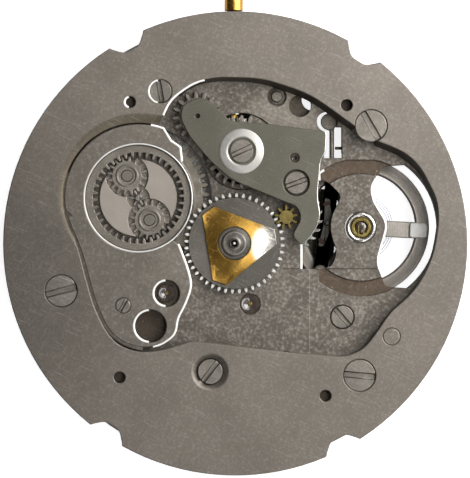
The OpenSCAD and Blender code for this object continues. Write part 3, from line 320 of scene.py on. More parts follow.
@dataclass(frozen=True)
class Turned:
    """Turning marks: fine rings about an axis."""

    centre: Point
    pitch: float = 0.06
    strength: float = 0.3

@dataclass(frozen=True)
class Metal:
    """A metal surface with two tones, grain, specks, scratches and, where wanted, turning marks."""

    name: str
    tone: Rgb
    dark: Rgb
    roughness: float
    grain: float = 0.09
    grain_depth: float = 0.3
    grain_share: float = 0.35
    cloud: float = 3.0
    cloud_share: float = 0.6
    bright: Rgb = (0.42, 0.4, 0.36)
    specks: float = 0.3
    scratches: float = 0.3
    metallic: float = 0.7
    # Patches of another tone, most of them painted shade or painted highlights.
    patches: Tuple[Patch, ...] = ()
    turned: Optional[Turned] = None
    brushed: Optional[float] = None

    def inputs(self, tree: Tree) -> Dict[str, Value]:
        """Inputs of the metal's shader.

        Args:
            tree: The material's tree.

        Returns:
            Value or link of each input, by its name.
        """
        grain = tree.noise(self.grain, 2.0, seed=3.0)
        marks = tree.scratches(*SCRATCHES[0]).largest(tree.scratches(*SCRATCHES[1])) * self.scratches
        height = grain * self.grain_depth - marks
        if self.brushed is not None:
            height = height + tree.noise(1.0, 2.0, tree.place(self.brushed, BRUSHING), 2.0) * 0.4
        if self.turned:
            turns = tree.radius(self.turned.centre) * (math.tau / self.turned.pitch)
            height = height + turns.sine() * self.turned.strength
        rough = tree.noise(self.cloud * 0.4, 4.0, seed=9.0) * ROUGH_SPAN
        return {"Base Color": self._colour(tree, grain, marks), "Metallic": self.metallic,
                "Roughness": rough + (self.roughness - ROUGH_SPAN / 2),
                "Normal": tree.node("ShaderNodeBump", None, {
                    "Strength": BUMP_SHARE, "Distance": BUMP_H * MM, "Height": height})}

    def _colour(self, tree: Tree, grain: Sock, marks: Sock) -> Sock:
        """Colour of the surface.

        Args:
            tree: The material's tree.
            grain: The grain's height.
            marks: Share of the scratches' tone.

        Returns:
            The colour.
        """
        clouds = tree.noise(self.cloud, 5.0).rise(0.36, 0.66)
        colour = tree.blend(clouds * self.cloud_share, self.tone, self.dark)
        colour = tree.blend(grain.rise(0.6, 0.36) * self.grain_share, colour, self.dark)
        colour = tree.blend(grain.rise(0.52, 0.72) * self.grain_share * 0.6, colour, self.bright)
        for patch in self.patches:
            tone = tree.blend(grain.rise(0.6, 0.36) * 0.4, patch.tone, tuple(c * 0.6 for c in patch.tone))
            colour = tree.blend(patch.mask(tree), colour, tone)
        dust = tree.specks(*DUST[0]).largest(tree.specks(*DUST[1])) * self.specks
        colour = tree.blend(dust, colour, self.bright)
        return tree.blend(marks, colour, self.bright)

@dataclass(frozen=True)
class Gem:
    """A polished jewel: a clear coat over a deep, slightly cloudy colour."""

    name: str
    tone: Rgb
    deep: Rgb

    def inputs(self, tree: Tree) -> Dict[str, Value]:
        """Inputs of the jewel's shader."""
        return {"Base Color": tree.blend(tree.noise(0.5, 3.0).rise(0.35, 0.7), self.tone, self.deep),
                "Roughness": tree.noise(0.2, 2.0, seed=4.0) * 0.1 + 0.06, "IOR": 1.76, "Coat Weight": 0.6}

# Axes of the movement, and places on its face, in millimetres.
MIDDLE: Point = (0.0, 0.0)
BALANCE: Point = (6.93, 0.88)
ESCAPE: Point = (2.81, 1.45)
BARREL: Point = (-5.34, 2.5)
CENTRE: Point = (-0.05, 0.0)
CROWN: Point = (0.34, 5.07)
PLANETS = ((-5.956, 3.714), (-4.724, 1.286))
TAIL_HOLES = ((-4.69, -4.54), (-3.79, -2.74))
# Centres of the painted shade that darkens the plates towards the left and the right.
FAR_LEFT, FAR_RIGHT = (-17.0, -2.0), (16.0, 1.5)

# Holes that break the edge of the plate's recess, with the room that each one takes.
PLATE_HOLES = (((7.45, 6.46), 0.95), ((8.58, -5.12), 0.6), ((-4.12, 8.35), 0.8), ((6.11, 7.59), 0.4))

# Levels just below the top faces, in millimetres.
PLATE_TOP, PEAR_TOP, FLOOR_TOP = 3.2, 3.1, 2.04

# The first four tones are painted shade: in recesses and holes, on the recess wall at the top right, in
# the pallet opening, and towards the plate's sides.
BROWN_SHADE: Rgb = (0.075, 0.056, 0.038)
SHADE: Rgb = (0.05, 0.04, 0.03)
OLIVE_SHADE: Rgb = (0.05, 0.047, 0.03)
SIDE_SHADE: Rgb = (0.095, 0.083, 0.07)
PIVOT: Rgb = (0.17, 0.155, 0.13)

class Finish(Enum):
    """The finishes of the movement's pieces, some of which paint highlights or shade."""

    PLATE = Metal("satin_nickel", (0.225, 0.198, 0.168), (0.155, 0.137, 0.115), 0.5, grain=0.13,
                  specks=0.25, cloud_share=0.5, patches=(
                      # Painted shade: the plate darker towards the left and, less, towards the right.
                      Patch(FAR_LEFT, 9.5, SIDE_SHADE, share=0.6, edge=5.0),
                      Patch(FAR_RIGHT, 8.0, SIDE_SHADE, share=0.38, edge=5.0),
                      # Painted shade on the recess walls, darkest as a painted shadow along the top and
                      # the right.
                      Patch(MIDDLE, 12.3, BROWN_SHADE, low=2.0, high=3.0, edge=0.12, share=0.8),
                      Patch((6.5, 4.0), 8.6, SHADE, low=2.0, high=3.2, edge=0.05, share=1.0),
                      # Painted shadow on the slope beside the pear's upper left.
                      Patch(BARREL, 5.2, (0.1, 0.08, 0.048), low=2.7, high=3.26, edge=0.03, share=0.7)))
    FLOOR = Metal("grained_nickel", (0.208, 0.183, 0.155), (0.1, 0.087, 0.072), 0.5, grain=0.16,
                  grain_depth=0.9, grain_share=0.7, specks=0.7, scratches=0.25, cloud=1.2, patches=(
                      # Painted shade on the main plate's lower levels, under the floor.
                      Patch(MIDDLE, 12.3, BROWN_SHADE, low=0.1, high=1.7, edge=0.15),
                      # Painted light on the floor below the top of the recess, where the wall shadows it.
                      Patch((3.0, 7.0), 1.9, (0.38, 0.34, 0.285), low=1.9, share=0.8, edge=0.9),
                      Patch(BALANCE, 2.4, (0.085, 0.075, 0.062), low=1.9, share=0.35, edge=0.5),
                      # Painted brown shade in the groove round the balance.
                      Patch(BALANCE, 3.8, (0.1, 0.07, 0.047), inner=2.96, low=1.7, high=1.95)))
    REAR = Metal("rear_satin_nickel", (0.23, 0.208, 0.18), (0.16, 0.143, 0.12), 0.46, grain=0.12,
                 # Painted shade on the rear bridge where it shows through the deep pallet opening.
                 scratches=0.25, brushed=0.0, patches=(Patch(ESCAPE, 3.4, OLIVE_SHADE, low=-0.04, high=0.4),))
    PEAR = Metal("soft_satin_nickel", (0.222, 0.196, 0.166), (0.142, 0.125, 0.103), 0.46, grain=0.14,
                 grain_depth=0.5, grain_share=0.5, specks=0.5, scratches=0.22, patches=(
                     # Painted shade: the pear darker towards the left.
                     Patch(FAR_LEFT, 9.5, SIDE_SHADE, share=0.35, edge=5.0),
                     # Painted shade in the two holes of the pear's tail.
                     Patch(TAIL_HOLES[0], 0.92, BROWN_SHADE, low=2.0, high=3.05, edge=0.03),
                     Patch(TAIL_HOLES[1], 0.78, BROWN_SHADE, low=2.0, high=3.05, edge=0.03, share=0.7)))
    BRIDGE = Metal("dark_grey_plating", (0.138, 0.131, 0.102), (0.1, 0.094, 0.073), 0.48, grain=0.07,
                   grain_depth=0.25, bright=(0.25, 0.25, 0.21), scratches=0.35, cloud=2.0)
    STEEL = Metal("polished_steel", (0.6, 0.58, 0.54), (0.42, 0.4, 0.37), 0.24, grain_depth=0.12,
                  grain_share=0.15, bright=(0.8, 0.8, 0.77), specks=0.1, scratches=0.4, cloud=0.8,
                  metallic=1.0)
    WASHER = Metal("washer_steel", (0.5, 0.485, 0.45), (0.4, 0.385, 0.352), 0.4, grain_depth=0.15,
                   grain_share=0.15, bright=(0.85, 0.85, 0.8), specks=0.2, cloud=0.8,
                   turned=Turned(CROWN, 0.08, 0.25))
    # Near-black, as painted shade on the slope inside the top and right of the recess wall.
    WALL = Metal("painted_shade_wall", (0.06, 0.048, 0.036), (0.035, 0.028, 0.021), 0.5, scratches=0.2,
                 bright=(0.14, 0.12, 0.095), cloud=0.8, metallic=0.4)
    # Pale, as a painted highlight on the ring round the pear's opening.
    HIGHLIGHT_STEEL = Metal("painted_highlight_steel", (0.86, 0.85, 0.82), (0.72, 0.71, 0.68), 0.3, grain_share=0.1,
                       bright=(0.9, 0.9, 0.88), specks=0.1, scratches=0.2, metallic=0.4)
    # Near-white, as painted highlights on rounded edges, the balance weights and the centre pivot.
    EDGE = Metal("bright_edge", (0.95, 0.93, 0.9), (0.86, 0.84, 0.8), 0.28, bright=(0.95, 0.94, 0.92),
                 specks=0.05, scratches=0.1, metallic=0.1)
    HUB = Metal("hub_steel", (0.125, 0.113, 0.095), (0.08, 0.072, 0.06), 0.36, grain_depth=0.2, specks=0.2,
                scratches=0.2, turned=Turned(CENTRE), patches=(
                    # Painted highlights on the two turned slopes of the hub.
                    Patch(CENTRE, 0.66, (0.4, 0.385, 0.35), inner=0.58, edge=0.02),
                    Patch(CENTRE, 0.36, (0.28, 0.265, 0.235), inner=0.28, edge=0.02),
                    # Painted shade in the tube's bore.
                    Patch(CENTRE, 0.2, (0.01, 0.009, 0.008), edge=0.01, share=1.0)))
    # Near-black, as painted shade on the pallet fork deep in its opening.
    SHADE_STEEL = Metal("painted_shade_steel", (0.06, 0.056, 0.045), (0.035, 0.033, 0.027), 0.4, specks=0.2,
                       bright=(0.2, 0.19, 0.16), scratches=0.2, cloud=0.6)
    SCREW = Metal("screw_steel", (0.27, 0.244, 0.21), (0.16, 0.142, 0.12), 0.36, grain_depth=0.25,
                  specks=0.4, scratches=0.6, cloud=0.7, brushed=30.0)
    WHEEL = Metal("turned_wheel", (0.125, 0.115, 0.098), (0.09, 0.082, 0.069), 0.45, grain=0.06,
                  grain_depth=0.35, cloud=1.0, turned=Turned(CENTRE), patches=(
                      # Painted highlight on the polished ring of the centre wheel.
                      Patch(CENTRE, 2.95, (0.75, 0.73, 0.69), inner=2.56, edge=0.03),))
    CARRIER = Metal("matte_nickel", (0.385, 0.34, 0.295), (0.32, 0.284, 0.247), 0.5, grain=0.05,
                    grain_depth=0.35, specks=0.35, cloud=1.4, patches=(
                        Patch(PLANETS[0], 0.5, PIVOT, low=2.82), Patch(PLANETS[1], 0.5, PIVOT, low=2.82)))
    RING = Metal("ring_nickel", (0.26, 0.232, 0.197), (0.16, 0.142, 0.118), 0.4, grain=0.07,
                 grain_depth=0.35, cloud=0.8)
    RIM = Metal("rim_nickel", (0.4, 0.37, 0.325), (0.25, 0.225, 0.195), 0.36, grain_depth=0.2,
                specks=0.2, cloud=1.6, turned=Turned(BALANCE, 0.09, 0.2), patches=(
                    # Painted shade on the outer band of the rim.
                    Patch(BALANCE, 3.7, (0.1, 0.088, 0.075), inner=3.25, low=0.6, share=0.5, edge=0.1),))
    DRUM = Metal("barrel_nickel", (0.32, 0.29, 0.24), (0.2, 0.175, 0.14), 0.32, specks=0.4, cloud=0.6)
    BRASS = Metal("gilt_brass", (0.5, 0.29, 0.06), (0.36, 0.2, 0.04), 0.26, grain_depth=0.12,
                  grain_share=0.15, bright=(0.7, 0.52, 0.25), specks=0.2, scratches=0.35, cloud=1.2,
                  metallic=1.0, patches=(
                      # Painted glare on the right arm of the friction spring.
                      Patch((2.15, -0.15), 1.2, (1.0, 0.95, 0.86), edge=0.25, share=1.0),))
    OLD_BRASS = Metal("aged_brass", (0.3, 0.235, 0.075), (0.15, 0.115, 0.04), 0.34, grain_depth=0.3,
                      bright=(0.5, 0.42, 0.25), cloud=0.5, metallic=1.0)
    BLUED = Metal("blued_spring", (0.12, 0.15, 0.26), (0.07, 0.08, 0.15), 0.28, specks=0.1, cloud=0.6,
                  metallic=1.0)
    RUBY = Gem("red_ruby", (0.42, 0.03, 0.07), (0.22, 0.01, 0.03))
    # Near-black, as painted shade on the pallet stones deep in their opening.
    SHADE_RUBY = Gem("painted_shade_ruby", (0.035, 0.014, 0.012), (0.02, 0.008, 0.007))
    DULL_STONE = Gem("dull_stone", (0.075, 0.055, 0.042), (0.035, 0.026, 0.02))

    def material(self) -> bpy.types.Material:
        """The finish as a Blender material."""
        return material(self.value.name, self.value.inputs)

BODY_OF = {node: body for body, nodes in frame["record"]["behaviour"]["bodies"].items() for node in nodes}

def far(place: Vector, axis: Point) -> float:
    """Distance of a place from a vertical axis, in millimetres."""
    return (place.xy - Vector(axis)).length

def heights(node: str) -> Tuple[float, float]:
    """Lowest and highest level of a CAD node, in millimetres."""
    low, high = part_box(node)
    return low.z / MM, high.z / MM

def add_to(piece: bpy.types.Object, node: str, stands: bool = False) -> bpy.types.Object:
    """Lets a piece ride with a CAD node's body.

    Args:
        piece: The finished piece, in place.
        node: The CAD node.
        stands: The piece also stands in the node's place.

    Returns:
        The piece.
    """
    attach(piece, BODY_OF[node])
    if stands:
        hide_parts(node)
    LOG.info("%s %s %s", piece.name, "stands for" if stands else "rides with", node)
    return piece

def adopt(piece: bpy.types.Object, node: str) -> bpy.types.Object:
    """Lets a piece stand for a CAD node."""
    return add_to(piece, node, stands=True)

def add_object(name: str, data: bpy.types.ID) -> bpy.types.Object:
    """Puts an object with this data in the scene, at the origin.

    Args:
        name: The object's name.
        data: Its mesh, light or lens.

    Returns:
        The new object.
    """
    made = bpy.data.objects.new(name, data)
    bpy.context.scene.collection.objects.link(made)
    return made

def link(name: str, mesh: bpy.types.Mesh, finish: Finish) -> bpy.types.Object:
    """Puts a mesh in the scene as a piece, in its finish.

    Args:
        name: The piece's name.
        mesh: Its mesh.
        finish: The piece's finish.

    Returns:
        The piece, which isn't riding yet.
    """
    mesh.materials.clear()
    mesh.materials.append(finish.material())
    return add_object(name, mesh)

def mesh_of(name: str, shape: bmesh.types.BMesh, angle: float = SHARP) -> bpy.types.Mesh:
    """Ends a mesh under construction, shaded smoothly with sharp edges above an angle.

    Args:
        name: The mesh's name.
        shape: The mesh under construction, which is freed.
        angle: The angle between two faces, in degrees.

    Returns:
        The mesh.
    """
    for face in shape.faces:
        face.smooth = True
    for edge in shape.edges:
        edge.smooth = edge.calc_face_angle(0.0) < math.radians(angle)
    mesh = bpy.data.meshes.new(name)
    shape.to_mesh(mesh)
    shape.free()
    return mesh

def round_edges(piece: bpy.types.Object, width: float, segments: int = 2,
                angle: float = SHARP) -> bpy.types.Object:
    """Rounds the sharp edges of a piece.

    Args:
        piece: The piece.
        width: Width of the rounding, in millimetres.
        segments: Steps of the rounding.
        angle: Edges sharper than this are rounded, in degrees.

    Returns:
        The piece.
    """
    bevel = piece.modifiers.new("rounded_edges", "BEVEL")
    bevel.width = width * MM
    bevel.segments = segments
    bevel.limit_method = "ANGLE"
    bevel.angle_limit = math.radians(angle)
    bevel.use_clamp_overlap = False
    flat = piece.modifiers.new("flat_faces", "WEIGHTED_NORMAL")
    flat.keep_sharp = True
    return piece

def clean_copy(node: str) -> bmesh.types.BMesh:
    """Copies a CAD node's mesh with its doubles merged and its flat faces joined.

    Args:
        node: The CAD node.

    Returns:
        The copy, as a mesh under construction.
    """
    shape = bmesh.new()
    shape.from_mesh(frame["nodes"][node].data)
    bmesh.ops.remove_doubles(shape, verts=shape.verts, dist=MERGE)
    bmesh.ops.dissolve_limit(shape, angle_limit=math.radians(0.5), verts=shape.verts, edges=shape.edges)
    return shape

def soften(node: str, finish: Finish, width: float, segments: int = 2) -> bpy.types.Object:
    """Stands a copy with rounded edges in a CAD node's place.

    Args:
        node: The CAD node.
        finish: The finish of the new piece.
        width: Width of the rounding, in millimetres.
        segments: Steps of the rounding.

    Returns:
        The new piece.
    """
    piece = link(f"{node}_form", mesh_of(node, clean_copy(node)), finish)
    return adopt(round_edges(piece, width, segments), node)

@dataclass(frozen=True)
class Brink:
    """Part of a node's top edge: its corners, the level way out at each, and the edges between them."""

    corners: List[Vector]
    outward: List[Vector]
    edges: List[Tuple[int, int]]
    level: ClassVar[float] = 0.99
    upright: ClassVar[float] = 0.1
    wedge_top: ClassVar[float] = 0.04
    wedge_back: ClassVar[float] = 0.05

    @classmethod
    def pick(cls, node: str, where: Callable[[Vector, Vector], bool]) -> "Brink":
        """Picks edges between a level top face and an upright wall.

        Args:
            node: The CAD node.
            where: Takes an edge's middle in millimetres and its level way out, and picks it.

        Returns:
            The picked edges.
        """
        shape = clean_copy(node)
        index, corners, outward, edges = {}, [], [], []
        for edge in shape.edges:
            if len(edge.link_faces) != 2 or not edge.is_convex:
                continue
            top, wall = sorted((f.normal for f in edge.link_faces), key=lambda normal: -normal.z)
            middle = (edge.verts[0].co + edge.verts[1].co) / (2 * MM)
            if top.z < cls.level or abs(wall.z) > cls.upright or not where(middle, wall):
                continue
            for vert in edge.verts:
                if vert not in index:
                    index[vert] = len(corners)
                    corners.append(vert.co / MM)
                    outward.append(Vector((0, 0, 0)))
                outward[index[vert]] += Vector((wall.x, wall.y, 0)).normalized()
            edges.append(tuple(index[v] for v in edge.verts))
        shape.free()
        return cls(corners, [way.normalized() for way in outward], edges)

    def bead(self, name: str, radius: float, finish: Finish) -> bpy.types.Object:
        """Rolls the brink over as a polished round edge.

        Args:
            name: The piece's name.
            radius: Radius of the round edge, in millimetres.
            finish: Its finish.

        Returns:
            The piece.
        """
        path = bpy.data.meshes.new(f"{name}_path")
        drop = Vector((0, 0, radius))
        path.from_pydata([(c - drop) * MM for c in self.corners], self.edges, [])
        tree = FormTree(name, {"Radius": radius * MM, "Sides": 12})
        line = tree.node("GeometryNodeMeshToCurve", None, {"Mesh": tree.size("Geometry")})
        form = tree.sweep(line, tree.ring(tree.size("Sides"), tree.size("Radius")))
        return tree.make(name, form, finish, seat=path, angle=50)

    def slope(self, name: str, width: Callable[[Vector], float], depth: float,
              finish: Finish) -> bpy.types.Object:
        """Leans a wall out from the brink to its foot.

        Args:
            name: The piece's name.
            width: Takes the way out and gives the slope's width, in millimetres.
            depth: Height of the wall, in millimetres.
            finish: The slope's finish.

        Returns:
            The piece, a closed wedge along the wall.
        """
        shape = bmesh.new()
        rows = []
        for corner, way in zip(self.corners, self.outward):
            top, foot = (corner - Vector((0, 0, down)) for down in (self.wedge_top, depth))
            back = way * -self.wedge_back
            spots = (top + back, top, foot + way * width(way), foot + back)
            rows.append([shape.verts.new(spot * MM) for spot in spots])
        ends = [row for i, row in enumerate(rows) if sum(i in edge for edge in self.edges) == 1]
        for a, b in self.edges:
            for i in range(4):
                j = (i + 1) % 4
                shape.faces.new((rows[a][i], rows[a][j], rows[b][j], rows[b][i]))
        for row in ends:
            shape.faces.new(row)
        bmesh.ops.recalc_face_normals(shape, faces=shape.faces)
        return link(name, mesh_of(name, shape, 35.0), finish)

def dress(node: str, finish: Finish) -> None:
    """Gives a CAD node that stays in view its finish.

    Args:
        node: The CAD node.
        finish: The finish for the whole node.
    """
    mesh = frame["nodes"][node].data
    mesh.materials.clear()
    mesh.materials.append(finish.material())
    LOG.info("%s is dressed in %s", node, finish.value.name)

def turn(name: str, centre: Point, profile: Sequence[Point], finish: Finish, closed: bool = False,
         steps: int = 72) -> bpy.types.Object:
    """Turns a profile about a vertical axis, as on a lathe.

    Args:
        name: The piece's name.
        centre: Place of the axis, in millimetres.
        profile: Radius and height of each corner, in millimetres. A radius of 0 closes the shape there.
        finish: The piece's finish.
        closed: The profile's last corner joins its first, as in a ring.
        steps: Corners round the piece.

    Returns:
        The piece, which isn't riding yet.
    """
    shape = bmesh.new()
    rings = []
    for radius, z in profile:
        count = 1 if radius == 0 else steps
        rings.append([shape.verts.new(Vector((
            centre[0] + radius * math.cos(math.tau * i / steps),
            centre[1] + radius * math.sin(math.tau * i / steps), z)) * MM) for i in range(count)])
    pairs = list(zip(rings, rings[1:])) + ([(rings[-1], rings[0])] if closed else [])
    for low, high in pairs:
        for i in range(steps):
            j = (i + 1) % steps
            corners = [low[i % len(low)], low[j % len(low)], high[j % len(high)], high[i % len(high)]]
            shape.faces.new(list(dict.fromkeys(corners)))
    bmesh.ops.recalc_face_normals(shape, faces=shape.faces)
    return link(name, mesh_of(name, shape, 30.0), finish)

def islands(node: str) -> List[Tuple[Vector, Vector]]:
    """Finds the separate solids of a CAD node.

    Args:
        node: The CAD node.

    Returns:
        The lowest and highest corner of each, in millimetres, from left to right.
    """
    shape = clean_copy(node)
    left, found = set(shape.verts), []
    while left:
        group, edge = [], [left.pop()]
        while edge:
            vert = edge.pop()
            group.append(vert.co / MM)
            for link_edge in vert.link_edges:
                other = link_edge.other_vert(vert)
                if other in left:
                    left.discard(other)
                    edge.append(other)
        found.append(tuple(Vector([pick(c[i] for c in group) for i in range(3)]) for pick in (min, max)))
    shape.free()
    return sorted(found, key=lambda corners: corners[0].x)

def seats(node: str, turns: Iterable[float], down: bool) -> List[Seat]:
    """Finds where the separate solids of a CAD node stand.

    Args:
        node: The CAD node.
        turns: Turn of each about its axis, in degrees, from the left one to the right one.
        down: Their heads look down.

    Returns:
        Place of the head in millimetres, turn in degrees and radius in millimetres of each.
    """
    found = []
    for (low, high), turned in zip(islands(node), turns):
        head = (low + high) / 2
        head.z = low.z if down else high.z
        found.append((head, turned, (high.x - low.x) / 2))
    return found

class FormTree(Tree):
    """A Geometry Nodes group with named inputs, which ends in plain, finished mesh."""

    def __init__(self, name: str, sizes: Dict[str, Union[float, int, bpy.types.Object]]) -> None:
        """Starts the group.

        Args:
            name: Name of the group.
            sizes: Its named inputs and their values.
        """
        self.group = bpy.data.node_groups.new(name, "GeometryNodeTree")
        super().__init__(self.group)
        self.sizes = sizes
        face = self.group.interface
        face.new_socket("Geometry", in_out="INPUT", socket_type="NodeSocketGeometry")
        face.new_socket("Geometry", in_out="OUTPUT", socket_type="NodeSocketGeometry")
        for key, value in sizes.items():
            kind = {float: "Float", int: "Int"}.get(type(value), "Object")
            face.new_socket(key, in_out="INPUT", socket_type=f"NodeSocket{kind}")

    def size(self, name: str) -> Sock:
        """A named input of the group."""
        return self.node("NodeGroupInput", output=name)

    def attribute(self, name: str) -> Sock:
        """A number kept on each point."""
        return self.node("GeometryNodeInputNamedAttribute", {"data_type": "FLOAT"}, {"Name": name},
                         "Attribute")

    def vector(self, x: Value = 0.0, y: Value = 0.0, z: Value = 0.0) -> Sock:
        """Three values as one vector."""
        return self.node("ShaderNodeCombineXYZ", None, {0: x, 1: y, 2: z})

    def ring(self, sides: Value, radius: Value) -> Sock:
        """A circle, as a profile."""
        return self.node("GeometryNodeCurvePrimitiveCircle", {"mode": "RADIUS"},
                         {"Resolution": sides, "Radius": radius})

    def spiral(self, steps: int, start: Value, end: Value, height: Value) -> Sock:
        """A spiral path with the group's number of turns, between two radii."""
        return self.node("GeometryNodeCurveSpiral", None, {
            "Resolution": steps, "Rotations": self.size("Turns"), "Start Radius": start,
            "End Radius": end, "Height": height})

    def sweep(self, path: Sock, profile: Sock) -> Sock:
        """Sweeps a profile along a path, with closed ends."""
        return self.node("GeometryNodeCurveToMesh", None, {
            "Curve": path, "Profile Curve": profile, "Fill Caps": True})

    def move(self, form: Sock, **changes: Value) -> Sock:
        """Moves a form by the Transform node's Translation, Rotation or Scale."""
        return self.node("GeometryNodeTransform", None, {"Geometry": form, **changes})

    def stand(self, points: Sock, piece: Sock) -> Sock:
        """Stands a piece on each point, turned and sized by the point.

        Args:
            points: The points.
            piece: The piece, drawn in millimetres about the origin with a radius of 1.

        Returns:
            The instances.
        """
        size = self.attribute("size") * MM
        turned = self.node("FunctionNodeEulerToRotation", None, {0: self.vector(z=self.attribute("turn"))})
        return self.node("GeometryNodeInstanceOnPoints", None, {
            "Points": points, "Instance": piece, "Rotation": turned, "Scale": self.vector(size, size, MM)})

    def make(self, name: str, form: Sock, finish: Finish, points: Sequence[Seat] = (),
             angle: float = SHARP, seat: Optional[bpy.types.Mesh] = None) -> bpy.types.Object:
        """Closes the group and turns its result into a plain piece.

        Args:
            name: The piece's name.
            form: The geometry that the group ends in.
            finish: The piece's finish.
            points: Place in millimetres, turn in degrees and radius in millimetres of each copy.
            angle: Edges sharper than this stay sharp, in degrees.
            seat: A path to follow, in place of points.

        Returns:
            The piece.
        """
        plain = self.node("GeometryNodeRealizeInstances", None, {"Geometry": form})
        dressed = self.node("GeometryNodeSetMaterial", None, {
            "Geometry": plain, "Material": finish.material()})
        self.node("NodeGroupOutput", None, {0: dressed})
        if seat is None:
            seat = bpy.data.meshes.new(f"{name}_points")
            seat.from_pydata([place * MM for place, _, _ in points], [], [])
            numbers = {"turn": [math.radians(turned) for _, turned, _ in points],
                       "size": [radius for _, _, radius in points]}
            for key, values in numbers.items():
                seat.attributes.new(key, "FLOAT", "POINT").data.foreach_set("value", values)
        host = add_object(f"{name}_host", seat)
        work = host.modifiers.new("form", "NODES")
        work.node_group = self.group
        for item in self.group.interface.items_tree:
            if item.in_out == "INPUT" and item.name in self.sizes:
                work[item.identifier] = self.sizes[item.name]
        ready = host.evaluated_get(bpy.context.evaluated_depsgraph_get())
        mesh = bpy.data.meshes.new_from_object(ready)
        bpy.data.objects.remove(host)
        shape = bmesh.new()
        shape.from_mesh(mesh)
        return link(name, mesh_of(name, shape, angle), finish)

@dataclass
class Fasteners:
    """All slotted screws, made as one head that stands on points."""

    plate_turns: Tuple[float, ...] = (15, 100, 52, -5, 120)
    bridge_turns: Tuple[float, ...] = (20, -49)
    crown_turns: Tuple[float, ...] = (25.0,)
    stud_turns: Tuple[float, ...] = (60.0,)
    head_h: float = 0.33
    slot_w: float = 0.34
    slot_h: float = 0.18
    overlap: float = 0.01
    edge: float = 0.035

    def heads(self, name: str, node: str, turns: Sequence[float], head_h: float, slot_h: float,
              shaft_share: float = 0.45, down: bool = False) -> bpy.types.Object:
        """Makes the screws that stand for one node.

        Args:
            name: The piece's name.
            node: The CAD node, whose solids give each screw's place and size.
            turns: Direction of each slot, in degrees, from the left screw to the right one.
            head_h: Height of a head, in millimetres.
            slot_h: Depth of a slot, in millimetres.
            shaft_share: Radius of a shaft as a share of the head's.
            down: The heads look down.

        Returns:
            The screws.
        """
        shaft_h = max(high.z - low.z for low, high in islands(node)) - head_h
        tree = FormTree(name, {"Head Height": head_h, "Slot Width": self.slot_w, "Slot Depth": slot_h,
                               "Shaft Radius": shaft_share, "Shaft Length": shaft_h, "Sides": 64})
        head = tree.node("GeometryNodeMeshCylinder", None, {
            "Vertices": tree.size("Sides"), "Radius": 1.0, "Depth": tree.size("Head Height")})
        head = tree.move(head, Translation=tree.vector(z=tree.size("Head Height") * -0.5))
        slot = tree.node("GeometryNodeMeshCube", None, {"Size": tree.vector(
            3.0, tree.size("Slot Width"), tree.size("Slot Depth") * 2)})
        cut = tree.node("GeometryNodeMeshBoolean", {"operation": "DIFFERENCE", "solver": "EXACT"},
                        {"Mesh 1": head, "Mesh 2": slot})
        shaft = tree.node("GeometryNodeMeshCylinder", None, {
            "Vertices": 24, "Radius": tree.size("Shaft Radius"), "Depth": tree.size("Shaft Length")})
        drop = tree.size("Head Height") + tree.size("Shaft Length") * 0.5 - self.overlap
        shaft = tree.move(shaft, Translation=tree.vector(z=drop * -1))
        form = tree.node("GeometryNodeJoinGeometry", None, {"Geometry": [shaft, cut]})
        if down:
            form = tree.move(form, Rotation=(math.pi, 0, 0))
        piece = tree.make(name, tree.stand(tree.size("Geometry"), form), Finish.SCREW,
                          seats(node, turns, down))
        return adopt(round_edges(piece, self.edge, 2, 35.0), node)

    def build(self) -> None:
        """Makes every set of screws."""
        self.heads("plate_screw_heads", "plate_screws", self.plate_turns, self.head_h, self.slot_h)
        self.heads("bridge_screw_heads", "bridge_screws", self.bridge_turns, head_h=0.25, slot_h=0.12)
        self.heads("crown_screw_head", "crown_screw", self.crown_turns, head_h=0.14, slot_h=0.09)
        self.heads("tail_stud_head", "bridge_stud", self.stud_turns, head_h=0.2, slot_h=0.07,
                   shaft_share=0.8)
        turns = [20 + 37 * (low.x + high.x) / 2 for low, high in islands("rear_screws")]
        self.heads("rear_screw_heads", "rear_screws", turns, self.head_h, slot_h=0.12,
                   shaft_share=0.5, down=True)

